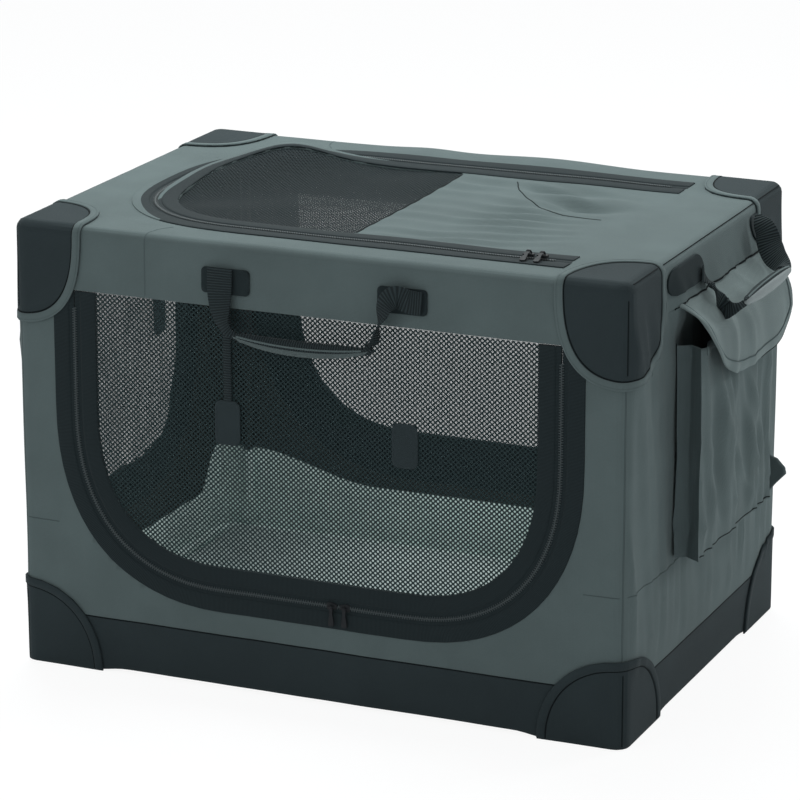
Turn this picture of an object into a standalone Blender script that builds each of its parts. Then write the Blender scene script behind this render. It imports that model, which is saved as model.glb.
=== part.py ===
"""Folding soft dog carrier: a knee-jointed tube frame in a sewn fabric shell.

Metres, +Z up. X runs along the long side, the front is at -Y, and the origin is the centre
of the bottom face. Run it with: blender --background --python part.py
"""

import math

import bmesh
import bpy
from mathutils import Matrix, Vector

# Shell, over the fabric
LENGTH = 0.762
WIDTH = 0.533
HEIGHT = 0.541
SHEET = 0.003  # padded fabric wall
GAP = 0.0003  # left between pieces that touch
CORNER_RADIUS = 0.014  # upright corners, in plan
EDGE_RADIUS = 0.010  # rim of the roof
BAND_HEIGHT = 0.068  # skirt of the base cover
HEADER_SIDE = 0.075  # drop of the top cover over the front and back
HEADER_END = 0.058  # drop of the top cover over the ends

# Frame of steel tube
TUBE_RADIUS = 0.0065
TUBE_BEND = 0.026  # corner bends of the two rings, at the tube's centre line
PIVOT_RISE = 0.017  # ring centre line to the pivot next to it
PIVOT_INSET = 0.046  # end of the shell to the pivots
TAB_THICKNESS = 0.003  # flattened tube ends and the ears they hinge on
TAB_HALF = 0.009
KNEE_TAB = 0.044  # flat stretch at the knee, long enough to fold shut
END_TAB = 0.014
TAB_TAPER = 0.012  # from flat to round
RIVET_RADIUS = 0.0025
RIVET_HEAD = 0.0045
RIVET_HEAD_THICKNESS = 0.0012
RUNNING_GAP = 0.0003  # between hinged faces
PIN_CLEARANCE = 0.00009  # round each rivet

# Zipped openings: half width and lowest edge are those of the zip line
FRONT_HALF = 0.303
FRONT_BOTTOM = 0.124
FRONT_CORNER = (0.190, 0.205)
LEFT_HALF = 0.186
LEFT_BOTTOM = 0.135
LEFT_CORNER = (0.140, 0.190)
BACK_HALF = 0.268  # edge of the sewn mesh
BACK_BOTTOM = 0.165
BACK_CORNER = (0.165, 0.175)
ROOF_HALF = 0.192
ROOF_APEX = -0.294
ROOF_HINGE = 0.285
ROOF_CORNER = (0.172, 0.186)
ROOF_MESH_END = 0.005  # where the roof door's mesh meets its fabric half
SQUARENESS = 2.4  # exponent of the openings' round corners
BAND_OUT = 0.026  # tape and binding outside the zip line
BAND_IN = 0.027  # binding inside the zip line
BACK_BORDER = 0.062
ZIP_GAP = 0.0005  # half the parting between the two rows of teeth
COIL_WIDTH = 0.0026
COIL_HEIGHT = 0.0013
FRONT_BARE = 0.018  # tape without teeth at the ends of each zip
LEFT_BARE = 0.040
ROOF_BARE = 0.016
HINGE_GAP = 0.0011  # over a door's hinged edge

# Mesh
NET_THICKNESS = 0.0012
NET_BAR = 0.007
FRONT_PITCH = (0.062, 0.052)
BACK_PITCH = (0.064, 0.056)
LEFT_PITCH = (0.056, 0.050)
ROOF_PITCH = (0.056, 0.052)

# Corner patches: reach along X, along Y and in height
TOP_PATCH = (0.088, 0.105, 0.120)
BASE_PATCH = (0.104, 0.114, 0.105)
PATCH_SHEET = 0.0018
TOP_SQUARENESS = 2.7
BASE_SQUARENESS = 2.15

# Floor mat
MAT_THICKNESS = 0.024
MAT_EDGE = 0.010
MAT_CORNER = 0.008  # cut off each corner, both ways
MAT_CLEARANCE = 0.0035  # to the base ring

# Carrying handles
HANDLE_SPAN = 0.107  # middle to each anchor
HANDLE_DROP = 0.064
HANDLE_LEAN = 0.010  # how far the front handle's grip hangs off the wall
GRIP_HALF = 0.082
GRIP_RADIUS = 0.0068
STRAP_HALF = 0.0125
STRAP_THICKNESS = 0.0018
ANCHOR_SIZE = (0.060, 0.030)
ANCHOR_CORNER = 0.005
END_ANCHOR_SIZE = (0.104, 0.045)
END_ANCHOR_CORNER = 0.020
END_ANCHOR_INSET = 0.012  # middle of the handle's leg to the middle of its anchor
ANCHOR_THICKNESS = 0.0020
FRONT_ANCHOR_DROP = 0.044  # roof to the middle of the front anchors
END_ANCHOR_DROP = 0.036
END_HANDLE_ANGLE = 68.0  # off straight down, lying on the pocket's flap

# Cargo pocket on the right end
POCKET_HALF = 0.126
POCKET_BOTTOM = 0.190
POCKET_MOUTH = 0.042  # below the end header's edge
POCKET_DEPTH = 0.042
POCKET_PLEAT = 0.012
POCKET_SHEET = 0.0020
FLAP_HALF = 0.140
FLAP_DROP = 0.095
FLAP_STANDOFF = 0.050
FLAP_SHEET = 0.0022
FLAP_SEAM_DROP = 0.002  # below the edge of the end's header

# Small sewn parts
LOOP_Y = 0.208
LOOP_LOW = 0.158
LOOP_HIGH = 0.215
LOOP_REACH = 0.027
LOOP_THICKNESS = 0.0030
TIE_X = -0.106
TIE_WIDTH = 0.0095
TIE_OVERLAP = 0.010  # sewn length over the header's edge
TIE_THICKNESS = 0.0012
PAD_SIZE = (0.032, 0.053)
PAD_THICKNESS = 0.0016
DOOR_PAD_X = 0.115
LEFT_PAD_Y = 0.092
PAD_HEIGHT = 0.328  # middle of the pads above the floor

# Zip sliders and pulls
SLIDER = (0.0125, 0.0095, 0.0032)
BAIL_HALF = 0.0037  # half the length of the arch over the slider
BAIL_LEG = 0.0013
BAIL_BAR = 0.0012  # square bar that the pull is rolled round
BAIL_HEIGHT = 0.0032
PULL_LENGTH = 0.023
PULL_WIDTH = 0.0072
PULL_THICKNESS = 0.0014
KNUCKLE_BORE = 0.00105  # radius, clear of the bar's corners
KNUCKLE_WALL = 0.0007
FRONT_SLIDER_X = 0.032
ROOF_SLIDER_X = 0.241
ROOF_PULL_DROP = 14.0  # degrees below level
SLIDER_SPACING = 0.0165

TUBE_SIDES = 8
PIN_SIDES = 24
BEND_STEPS = 4
CORNER_STEPS = 4
OPENING_STEPS = 8

SIDES = ("back", "left", "front", "right")  # in the order of the plan's corners

# Places that follow from the sizes
HALF_X = LENGTH / 2
HALF_Y = WIDTH / 2
HEADER_LOW = HEIGHT - HEADER_SIDE
END_HEADER_LOW = HEIGHT - HEADER_END
POCKET_TOP = END_HEADER_LOW - POCKET_MOUTH
INSIDE_X = HALF_X - SHEET - GAP
INSIDE_Y = HALF_Y - SHEET - GAP
RING_X = INSIDE_X - TUBE_RADIUS
RING_Y = INSIDE_Y - TUBE_RADIUS
BASE_RING_Z = SHEET + GAP + TUBE_RADIUS
TOP_RING_Z = HEIGHT - SHEET - GAP - TUBE_RADIUS
LOW_PIVOT_Z = BASE_RING_Z + PIVOT_RISE
HIGH_PIVOT_Z = TOP_RING_Z - PIVOT_RISE
KNEE_Z = (LOW_PIVOT_Z + HIGH_PIVOT_Z) / 2
PIVOT_X = HALF_X - PIVOT_INSET
TAB_OFFSET = (TAB_THICKNESS + RUNNING_GAP) / 2

CHARCOAL = (0.030, 0.036, 0.039)
BINDING = (0.017, 0.021, 0.023)
GREY = (0.062, 0.082, 0.083)
BLACK_NET = (0.012, 0.015, 0.016)
PAD_GREY = (0.130, 0.150, 0.150)
FRAME_BLACK = (0.015, 0.015, 0.016)
STEEL = (0.060, 0.062, 0.066)


# Scene, materials and joints

def clear_scene():
    for obj in list(bpy.data.objects):
        bpy.data.objects.remove(obj, do_unlink=True)


def material(name, colour, roughness, metallic=0.0):
    mat = bpy.data.materials.new(name)
    mat.use_nodes = True
    shader = mat.node_tree.nodes["Principled BSDF"]
    shader.inputs["Base Color"].default_value = (*colour, 1.0)
    shader.inputs["Roughness"].default_value = roughness
    shader.inputs["Metallic"].default_value = metallic
    return mat


joint_places = {}


def joint_empty(name, place, parent=None):
    """An empty on a joint's axis; the pieces of its body hang from it."""
    empty = bpy.data.objects.new(f"{name}_axis", None)
    bpy.context.collection.objects.link(empty)
    joint_places[name] = (empty, Vector(place))
    origin = Vector((0, 0, 0))
    if parent:
        empty.parent, origin = joint_places[parent]
    empty.location = Vector(place) - origin
    return empty


def add_piece(name, bm, colour, roughness=0.85, metallic=0.0, joint=None, smooth=None):
    """One sub-part from a bmesh in world places, hung from its joint's empty."""
    bmesh.ops.recalc_face_normals(bm, faces=bm.faces)
    mesh = bpy.data.meshes.new(name)
    obj = bpy.data.objects.new(name, mesh)
    bpy.context.collection.objects.link(obj)
    if joint:
        empty, place = joint_places[joint]
        obj.parent = empty
        bmesh.ops.translate(bm, verts=bm.verts, vec=-place)
    bm.to_mesh(mesh)
    bm.free()
    if smooth:
        mesh.shade_smooth()
        mesh.set_sharp_from_angle(angle=math.radians(smooth))
    mesh.materials.append(material(name, colour, roughness, metallic))
    return obj


# Shapes

def rounded_rectangle(half_x, half_y, radius, steps=CORNER_STEPS):
    """Points of a rectangle with round corners, anticlockwise from the +X side's low end."""
    radius = max(radius, 0.0004)
    points = []
    for quarter, (sx, sy) in enumerate([(1, 1), (-1, 1), (-1, -1), (1, -1)]):
        for step in range(steps + 1):
            angle = math.radians(90) * (quarter + step / steps)
            x = sx * (half_x - radius) + radius * math.cos(angle)
            y = sy * (half_y - radius) + radius * math.sin(angle)
            points.append((x, y))
    return points


def loft(rings, closed=False):
    """Rings of as many points each, bridged in order; the ends are capped unless closed."""
    bm = bmesh.new()
    loops = []
    for ring in rings:
        verts = [bm.verts.new(point) for point in ring]
        edges = [bm.edges.new((a, b)) for a, b in zip(verts, verts[1:] + verts[:1])]
        loops.append((verts, edges))
    count = len(loops[0][0])
    pairs = list(zip(loops, loops[1:]))
    if closed:
        pairs.append((loops[-1], loops[0]))
    for (low, _), (high, _) in pairs:
        for i in range(count):
            j = (i + 1) % count
            bm.faces.new((low[i], low[j], high[j], high[i]))
    if not closed:
        bm.faces.new(loops[0][0])
        bm.faces.new(loops[-1][0])
    return bm


def sheet(loops, thickness, frame):
    """Outline loops in a plane, the first outside and the rest holes, made this thick."""
    bm = bmesh.new()
    edges = []
    for loop in loops:
        verts = [bm.verts.new((u, v, 0)) for u, v in loop]
        edges += [bm.edges.new((a, b)) for a, b in zip(verts, verts[1:] + verts[:1])]
    bmesh.ops.triangle_fill(bm, edges=edges, use_beauty=True, normal=(0, 0, 1))
    raised = bmesh.ops.extrude_face_region(bm, geom=bm.faces[:])
    lifted = [item for item in raised["geom"] if isinstance(item, bmesh.types.BMVert)]
    bmesh.ops.translate(bm, verts=lifted, vec=(0, 0, thickness))
    bmesh.ops.transform(bm, matrix=frame, verts=bm.verts)
    return bm


def slab(front, back):
    """A closed skin between two grids of points of the same size."""
    bm = bmesh.new()
    rows, columns = len(front), len(front[0])
    faces = [[[bm.verts.new(p) for p in row] for row in grid] for grid in (front, back)]
    for grid in faces:
        for i in range(rows - 1):
            for j in range(columns - 1):
                bm.faces.new((grid[i][j], grid[i][j + 1], grid[i + 1][j + 1], grid[i + 1][j]))
    rim = [(0, j) for j in range(columns)]
    rim += [(i, columns - 1) for i in range(1, rows)]
    rim += [(rows - 1, j) for j in range(columns - 2, -1, -1)]
    rim += [(i, 0) for i in range(rows - 2, 0, -1)]
    for (a, b), (c, d) in zip(rim, rim[1:] + rim[:1]):
        bm.faces.new((faces[0][a][b], faces[0][c][d], faces[1][c][d], faces[1][a][b]))
    return bm


def sweep(path, sections, side, closed=False):
    """Sections of (in-plane, sideways) points carried along a path; side is the steady axis."""
    side = Vector(side).normalized()
    path = [Vector(point) for point in path]
    rings = []
    for i, point in enumerate(path):
        before = path[i - 1] if i or closed else point
        after = path[(i + 1) % len(path)] if i < len(path) - 1 or closed else point
        across = (after - before).normalized().cross(side).normalized()
        section = sections[i] if isinstance(sections[0][0], (list, tuple)) else sections
        rings.append([point + across * a + side * b for a, b in section])
    return loft(rings, closed)


def circle_section(radius, sides=TUBE_SIDES, squash=1.0):
    turn = 2 * math.pi / sides
    return [
        (radius * math.cos(turn * (k + 0.5)), squash * radius * math.sin(turn * (k + 0.5)))
        for k in range(sides)
    ]


def cylinder(start, end, radius, sides=PIN_SIDES):
    start, end = Vector(start), Vector(end)
    bm = bmesh.new()
    turn = (end - start).to_track_quat("Z", "Y").to_matrix().to_4x4()
    place = Matrix.Translation((start + end) / 2) @ turn
    bmesh.ops.create_cone(
        bm, cap_ends=True, segments=sides, radius1=radius, radius2=radius,
        depth=(end - start).length, matrix=place,
    )
    return bm


def boolean(bm, tools, operation):
    """A Boolean of bmeshes, worked out by modifiers on passing objects."""
    made = []
    for part in [bm, *tools]:
        bmesh.ops.recalc_face_normals(part, faces=part.faces)
        mesh = bpy.data.meshes.new("passing")
        part.to_mesh(mesh)
        part.free()
        obj = bpy.data.objects.new("passing", mesh)
        bpy.context.collection.objects.link(obj)
        made.append(obj)
    for tool in made[1:]:
        modifier = made[0].modifiers.new("cut", "BOOLEAN")
        modifier.operation = operation
        modifier.solver = "EXACT"
        modifier.object = tool
    graph = bpy.context.evaluated_depsgraph_get()
    result = bmesh.new()
    result.from_object(made[0], graph)
    for obj in made:
        bpy.data.objects.remove(obj, do_unlink=True)
    bmesh.ops.remove_doubles(result, verts=result.verts, dist=0.00002)
    bmesh.ops.dissolve_degenerate(result, dist=0.00001, edges=result.edges)
    return result


# Planes that the sheets lie in: (u, v, out) to the world

def front_frame(depth=0.0):
    """u along +X, v up, thickness into the carrier from this depth inside the front."""
    return Matrix(((1, 0, 0, 0), (0, 0, 1, depth - HALF_Y), (0, 1, 0, 0), (0, 0, 0, 1)))


def back_frame(depth=0.0):
    return Matrix(((1, 0, 0, 0), (0, 0, -1, HALF_Y - depth), (0, 1, 0, 0), (0, 0, 0, 1)))


def left_frame(depth=0.0):
    """u along +Y, v up, thickness into the carrier from this depth inside the left end."""
    return Matrix(((0, 0, 1, depth - HALF_X), (1, 0, 0, 0), (0, 1, 0, 0), (0, 0, 0, 1)))


def right_frame(depth=0.0):
    return Matrix(((0, 0, -1, HALF_X - depth), (1, 0, 0, 0), (0, 1, 0, 0), (0, 0, 0, 1)))


def roof_frame(depth=0.0):
    """u along +Y, v along +X, thickness down from this depth below the roof."""
    return Matrix(((0, 1, 0, 0), (1, 0, 0, 0), (0, 0, -1, HEIGHT - depth), (0, 0, 0, 1)))


# Openings

def opening_path(half, bottom, top, corner):
    """A U from the top left, round the bottom, to the top right, in (u, v)."""
    along, up = corner
    right = [(half, top)]
    for step in range(OPENING_STEPS + 1):
        angle = math.radians(90) * step / OPENING_STEPS
        u = half - along + along * math.cos(angle) ** (2 / SQUARENESS)
        v = bottom + up - up * math.sin(angle) ** (2 / SQUARENESS)
        right.append((u, v))
    left = [(-u, v) for u, v in right]
    return left + right[-1::-1]


def outward(path, i):
    """Unit vector out of the U at its point i."""
    if i in (0, len(path) - 1):
        return Vector((math.copysign(1, path[i][0]), 0))
    along = (Vector(path[i + 1]) - Vector(path[i - 1])).normalized()
    return Vector((along.y, -along.x))


def offset_path(path, distance):
    """The U moved outwards by distance, its two ends kept at their height."""
    moved = [Vector(point) + outward(path, i) * distance for i, point in enumerate(path)]
    return [(point.x, point.y) for point in moved]


def band(path, inner, outer):
    """The outline of a strip along the U, from inner to outer distance."""
    return offset_path(path, outer) + offset_path(path, inner)[::-1]


def zip_tape(path, bare, frame):
    """Tape outside the zip line, with its row of teeth standing proud."""
    half, top = path[-1]
    marks = list(path)
    for depth in (bare * 1.25, bare):
        marks.insert(1, (-half, top - depth))
        marks.insert(len(marks) - 1, (half, top - depth))
    flat = [(ZIP_GAP, 0), (BAND_OUT, 0), (BAND_OUT, SHEET), (COIL_WIDTH * 1.5, SHEET)]
    rings = []
    for i, (u, v) in enumerate(marks):
        rise = COIL_HEIGHT if 1 < i < len(marks) - 2 else 0
        section = flat + [(COIL_WIDTH, SHEET + rise), (ZIP_GAP, SHEET + rise)]
        out = outward(marks, i)
        ring = []
        for a, b in section:
            ring.append(frame @ Vector((u + out.x * a, v + out.y * a, SHEET - b)))
        rings.append(ring)
    return loft(rings)


def inside(point, outline):
    """Even-odd test of a point in a closed outline."""
    u, v = point
    hit = False
    for (a, b), (c, d) in zip(outline, outline[1:] + outline[:1]):
        if (b > v) != (d > v) and u < (c - a) * (v - b) / (d - b) + a:
            hit = not hit
    return hit


def distance_to(point, outline):
    point = Vector(point)
    nearest = math.inf
    for a, b in zip(outline, outline[1:] + outline[:1]):
        a, b = Vector(a), Vector(b)
        share = (point - a).dot(b - a) / max((b - a).length_squared, 1e-12)
        nearest = min(nearest, (a + (b - a) * min(max(share, 0), 1) - point).length)
    return nearest


def net(outline, pitch, frame):
    """Mesh fabric: a thin sheet with staggered diamond gaps, bars of one width between them."""
    step_u, step_v = pitch
    shrink = NET_BAR / math.hypot(step_u, step_v)
    reach_u = step_u / 2 * (1 - 2 * shrink)
    reach_v = step_v / 2 * (1 - 2 * shrink)
    low_u, high_u = min(u for u, _ in outline), max(u for u, _ in outline)
    low_v, high_v = min(v for _, v in outline), max(v for _, v in outline)
    middle_u, middle_v = (low_u + high_u) / 2, (low_v + high_v) / 2
    holes = []
    rows = math.ceil((high_v - low_v) / step_v) + 1
    columns = math.ceil((high_u - low_u) / step_u) + 1
    for row in range(-rows, rows + 1):
        for column in range(-columns, columns + 1):
            u = middle_u + (column + 0.5 * (row % 2)) * step_u
            v = middle_v + row * step_v / 2
            hole = [(u - reach_u, v), (u, v - reach_v), (u + reach_u, v), (u, v + reach_v)]
            if all(inside(p, outline) and distance_to(p, outline) > NET_BAR / 2 for p in hole):
                holes.append(hole)
    return sheet([outline, *holes], NET_THICKNESS, frame)


# The two fabric covers, the walls and the corner patches

def plan(inset):
    return rounded_rectangle(HALF_X - inset, HALF_Y - inset, CORNER_RADIUS - inset)


def at_height(points, z):
    return [(x, y, z) for x, y in points]


def rim_rings(proud):
    """Rings of the roof's rounded rim, from the roof down, this far outside the shell."""
    rings = []
    for step in range(CORNER_STEPS + 1):
        angle = math.radians(90) * step / CORNER_STEPS
        radius = EDGE_RADIUS + proud
        inset = EDGE_RADIUS - radius * math.sin(angle)
        rings.append(at_height(plan(inset), HEIGHT - EDGE_RADIUS + radius * math.cos(angle)))
    return rings


def lid(proud_out, proud_in, low_edge):
    """An upturned tray over the roof's rim; low_edge gives the height under each plan point."""
    outer, inner = rim_rings(proud_out), rim_rings(proud_in)
    low_out = [(x, y, low_edge(i)) for i, (x, y, _) in enumerate(outer[-1])]
    low_in = [(x, y, low_edge(i)) for i, (x, y, _) in enumerate(inner[-1])]
    return loft([*outer, low_out, low_in, *inner[::-1]])


def header_edge(index):
    """The header reaches lower on the front and back than on the ends."""
    quarter, step = divmod(index, CORNER_STEPS + 1)
    middle = CORNER_STEPS / 2
    on_side = step < middle if quarter % 2 else step > middle
    return HEADER_LOW if on_side else END_HEADER_LOW


def build_base_cover():
    outer, inner = plan(0), plan(SHEET)
    bm = loft([
        at_height(outer, 0), at_height(outer, BAND_HEIGHT),
        at_height(inner, BAND_HEIGHT), at_height(inner, SHEET),
    ])
    add_piece("base_cover", bm, CHARCOAL, smooth=40)


def build_top_cover(roof_path):
    bm = lid(0, -SHEET, header_edge)
    cut = offset_path(roof_path, BAND_OUT + GAP)
    cutter = sheet([cut], SHEET * 3, roof_frame(-SHEET))
    add_piece("top_cover", boolean(bm, [cutter], "DIFFERENCE"), GREY, joint="top", smooth=40)


def wall(side, low, high):
    """One side of the shell, between the middles of its two corners, made of a bent strip."""
    outer, inner = plan(0), plan(SHEET)
    quarter = CORNER_STEPS + 1
    first = SIDES.index(side) * quarter + CORNER_STEPS // 2
    picked = [(first + k) % len(outer) for k in range(quarter + 1)]
    ease = GAP / 2 / math.sqrt(2) * (1 if side in ("left", "right") else -1)

    def edge(ring):
        points = [ring[k] for k in picked]
        for k in (0, -1):
            x, y = points[k]
            points[k] = (x + ease * math.copysign(1, x), y - ease * math.copysign(1, y))
        return points

    outline = edge(outer) + edge(inner)[::-1]
    return sheet([outline], high - low, Matrix.Translation((0, 0, low)))


def patch_cutter(centre, reach, power):
    """A squarish ball about a corner, whose skin gives the patch its round outline."""
    bm = bmesh.new()
    bmesh.ops.create_uvsphere(bm, u_segments=28, v_segments=14, radius=1.0)
    for vert in bm.verts:
        spread = sum(abs(part) ** power for part in vert.co) ** (1 / power)
        scaled = [part / spread * size for part, size in zip(vert.co, reach)]
        vert.co = Vector(centre) + Vector(scaled)
    return bm


def build_patches():
    near = GAP
    far = GAP + PATCH_SHEET
    corners = {
        "front_left": (-1, -1), "front_right": (1, -1), "back_left": (-1, 1), "back_right": (1, 1),
    }
    for name, (sx, sy) in corners.items():
        top = lid(far, near, lambda index: HEIGHT - TOP_PATCH[2] * 1.2)
        cutter = patch_cutter((sx * HALF_X, sy * HALF_Y, HEIGHT), TOP_PATCH, TOP_SQUARENESS)
        bm = boolean(top, [cutter], "INTERSECT")
        add_piece(f"top_patch_{name}", bm, CHARCOAL, joint="top", smooth=40)
        high = BASE_PATCH[2] * 1.2
        rings = [
            at_height(plan(-far), GAP), at_height(plan(-far), high),
            at_height(plan(-near), high), at_height(plan(-near), GAP),
        ]
        cutter = patch_cutter((sx * HALF_X, sy * HALF_Y, 0), BASE_PATCH, BASE_SQUARENESS)
        bm = boolean(loft(rings, closed=True), [cutter], "INTERSECT")
        add_piece(f"base_patch_{name}", bm, CHARCOAL, smooth=40)


# Frame

def build_ring(name, z, toward, joint=None):
    """A bent tube ring with four ears; toward is +1 where the ears stand up, -1 where they hang."""
    path = at_height(rounded_rectangle(RING_X, RING_Y, TUBE_BEND, BEND_STEPS), z)
    ring = sweep(path, circle_section(TUBE_RADIUS), (0, 0, 1), closed=True)
    pivot_z = z + toward * PIVOT_RISE
    parts = []
    for sx in (-1, 1):
        for sy in (-1, 1):
            middle = sy * (RING_Y + TAB_OFFSET)
            outline = [(sx * PIVOT_X - TAB_HALF, z), (sx * PIVOT_X + TAB_HALF, z)]
            for step in range(9):
                angle = math.pi * step / 8
                outline.append((
                    sx * PIVOT_X + TAB_HALF * math.cos(angle),
                    pivot_z + toward * TAB_HALF * math.sin(angle),
                ))
            low = middle - TAB_THICKNESS / 2
            frame = Matrix(((1, 0, 0, 0), (0, 0, 1, low), (0, 1, 0, 0), (0, 0, 0, 1)))
            parts.append(sheet([outline], TAB_THICKNESS, frame))
            parts += rivet((sx * PIVOT_X, middle, pivot_z), -sy)
    add_piece(name, boolean(ring, parts, "UNION"), FRAME_BLACK, 0.45, 0.0, joint, smooth=35)


def rivet(place, toward):
    """A pin and its head, standing out of the tab at place, through the tab beside it."""
    x, y, z = place
    face = y + toward * (TAB_THICKNESS / 2 + 2 * RUNNING_GAP + TAB_THICKNESS)
    pin = cylinder((x, y, z), (x, face + toward * RIVET_HEAD_THICKNESS / 2, z), RIVET_RADIUS)
    head = cylinder((x, face, z), (x, face + toward * RIVET_HEAD_THICKNESS, z), RIVET_HEAD, 12)
    return [pin, head]


def post_section(share, offset, half_width=TAB_HALF):
    """Eight points between a flat tab, share 0, and the round tube, share 1."""
    points = []
    for a, b in circle_section(1.0):
        flat_a = half_width * (1 if abs(a) > 0.5 else 0.42) * math.copysign(1, a)
        flat_b = offset + TAB_THICKNESS / 2 * math.copysign(1, b)
        points.append((
            flat_a + (a * TUBE_RADIUS - flat_a) * share,
            flat_b + (b * TUBE_RADIUS - flat_b) * share,
        ))
    return points


def build_post(name, low, high, low_tab, high_tab, low_side, high_side, joint, knee_pin):
    """A tube between two pivots, its ends flattened to one side or the other of its line."""
    low, high = Vector(low), Vector(high)
    up = (high - low).normalized()
    span = (high - low).length
    marks = []
    for end, tab, side in ((0, low_tab, low_side), (span, high_tab, high_side)):
        inward = 1 if end == 0 else -1
        run = []
        for k in (-0.94, -0.6):
            run.append((k * TAB_HALF, 0, side, TAB_HALF * math.sqrt(1 - k * k)))
        run += [(0, 0, side, TAB_HALF), (tab, 0, side, TAB_HALF)]
        run.append((tab + TAB_TAPER, 1, side, TAB_HALF))
        placed = [(end + inward * d, share, s, half) for d, share, s, half in run]
        marks += placed if end == 0 else placed[::-1]
    path = [low + up * d for d, _, _, _ in marks]
    sections = [post_section(share, s * TAB_OFFSET, half) for _, share, s, half in marks]
    bm = sweep(path, sections, (0, 1, 0))
    holes = []
    pins = []
    for place, side, is_knee in ((low, low_side, knee_pin), (high, high_side, False)):
        middle = place + Vector((0, side * TAB_OFFSET, 0))
        if is_knee:
            pins = rivet(middle, -side)
        else:
            reach = Vector((0, TAB_THICKNESS, 0))
            holes.append(cylinder(middle - reach, middle + reach, RIVET_RADIUS + PIN_CLEARANCE))
    bm = boolean(bm, holes, "DIFFERENCE")
    if pins:
        bm = boolean(bm, pins, "UNION")
    add_piece(name, bm, FRAME_BLACK, 0.45, 0.0, joint, smooth=35)


def build_frame():
    build_ring("base_frame", BASE_RING_Z, 1)
    build_ring("top_frame", TOP_RING_Z, -1, "top")
    for end, sx in (("left", -1), ("right", 1)):
        for face, sy in (("front", -1), ("back", 1)):
            base = (sx * PIVOT_X, sy * RING_Y, LOW_PIVOT_Z)
            knee = (sx * PIVOT_X, sy * RING_Y, KNEE_Z)
            top = (sx * PIVOT_X, sy * RING_Y, HIGH_PIVOT_Z)
            build_post(
                f"lower_post_{face}_{end}", base, knee, END_TAB, KNEE_TAB, -sy, sy,
                f"{end}_lower", False,
            )
            build_post(
                f"upper_post_{face}_{end}", knee, top, KNEE_TAB, END_TAB, -sy, -sy,
                f"{end}_upper", True,
            )


# Zipped openings

def with_top(path, top):
    return [(path[0][0], top)] + path[1:-1] + [(path[-1][0], top)]


def build_side_door(prefix, path, bare, frame_at, joint, pitch, header):
    """Tape on the wall, and a binding and mesh on the swinging door."""
    tape_path = with_top(path, header - GAP)
    add_piece(f"{prefix}_zip_tape", zip_tape(tape_path, bare, frame_at(0)), BINDING)
    door_path = with_top(path, header - HINGE_GAP)
    binding = sheet([band(door_path, -BAND_IN, -ZIP_GAP)], SHEET, frame_at(0))
    add_piece(f"{prefix}_door_binding", binding, BINDING, joint=joint)
    outline = offset_path(door_path, -BAND_IN - GAP)
    depth = (SHEET - NET_THICKNESS) / 2
    add_piece(f"{prefix}_door_net", net(outline, pitch, frame_at(depth)), BLACK_NET, joint=joint)


def build_back_window():
    path = opening_path(BACK_HALF, BACK_BOTTOM, HEADER_LOW - GAP, BACK_CORNER)
    border = sheet([band(path, GAP, BACK_BORDER)], SHEET, back_frame())
    add_piece("back_window_border", border, BINDING)
    depth = (SHEET - NET_THICKNESS) / 2
    add_piece("back_window_net", net(path, BACK_PITCH, back_frame(depth)), BLACK_NET)


def build_roof_door(path):
    tape = zip_tape(with_top(path, ROOF_HINGE - GAP), ROOF_BARE, roof_frame())
    add_piece("roof_zip_tape", tape, BINDING, joint="top")
    hinge = ROOF_HINGE - HINGE_GAP
    door_path = with_top(path, hinge)
    outline = offset_path(door_path, -ZIP_GAP)
    mesh_edge = offset_path(door_path, -BAND_IN)
    window = []
    for u, v in mesh_edge:
        if v < ROOF_MESH_END - GAP:
            window.append((u, v))
    side = window[0][0], window[-1][0]
    window = [(side[0], ROOF_MESH_END)] + window + [(side[1], ROOF_MESH_END)]
    panel = sheet([outline, window], SHEET, roof_frame())
    add_piece("roof_door_panel", panel, GREY, joint="roof_door")
    middle_v = (min(v for _, v in window) + ROOF_MESH_END) / 2
    inset = []
    for u, v in window:
        inset.append((u - math.copysign(GAP, u), v + math.copysign(GAP, middle_v - v)))
    depth = (SHEET - NET_THICKNESS) / 2
    add_piece("roof_door_net", net(inset, ROOF_PITCH, roof_frame(depth)), BLACK_NET, joint="roof_door")


def build_walls(front_path, left_path):
    low = BAND_HEIGHT + GAP
    cut = BAND_OUT + GAP
    front = wall("front", low, HEADER_LOW - GAP)
    outline = with_top(offset_path(front_path, cut), HEIGHT)
    cutter = sheet([outline], SHEET * 3, front_frame(-SHEET))
    add_piece("front_wall", boolean(front, [cutter], "DIFFERENCE"), GREY, smooth=40)
    back = wall("back", low, HEADER_LOW - GAP)
    path = opening_path(BACK_HALF, BACK_BOTTOM, HEIGHT, BACK_CORNER)
    cutter = sheet([offset_path(path, BACK_BORDER + GAP)], SHEET * 3, back_frame(-SHEET))
    add_piece("back_wall", boolean(back, [cutter], "DIFFERENCE"), GREY, smooth=40)
    left = wall("left", low, END_HEADER_LOW - GAP)
    outline = with_top(offset_path(left_path, cut), HEIGHT)
    cutter = sheet([outline], SHEET * 3, left_frame(-SHEET))
    add_piece("left_wall", boolean(left, [cutter], "DIFFERENCE"), GREY, smooth=40)
    right = wall("right", low, END_HEADER_LOW - GAP)
    add_piece("right_wall", right, GREY, smooth=40)


# Zip sliders and pulls

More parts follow.
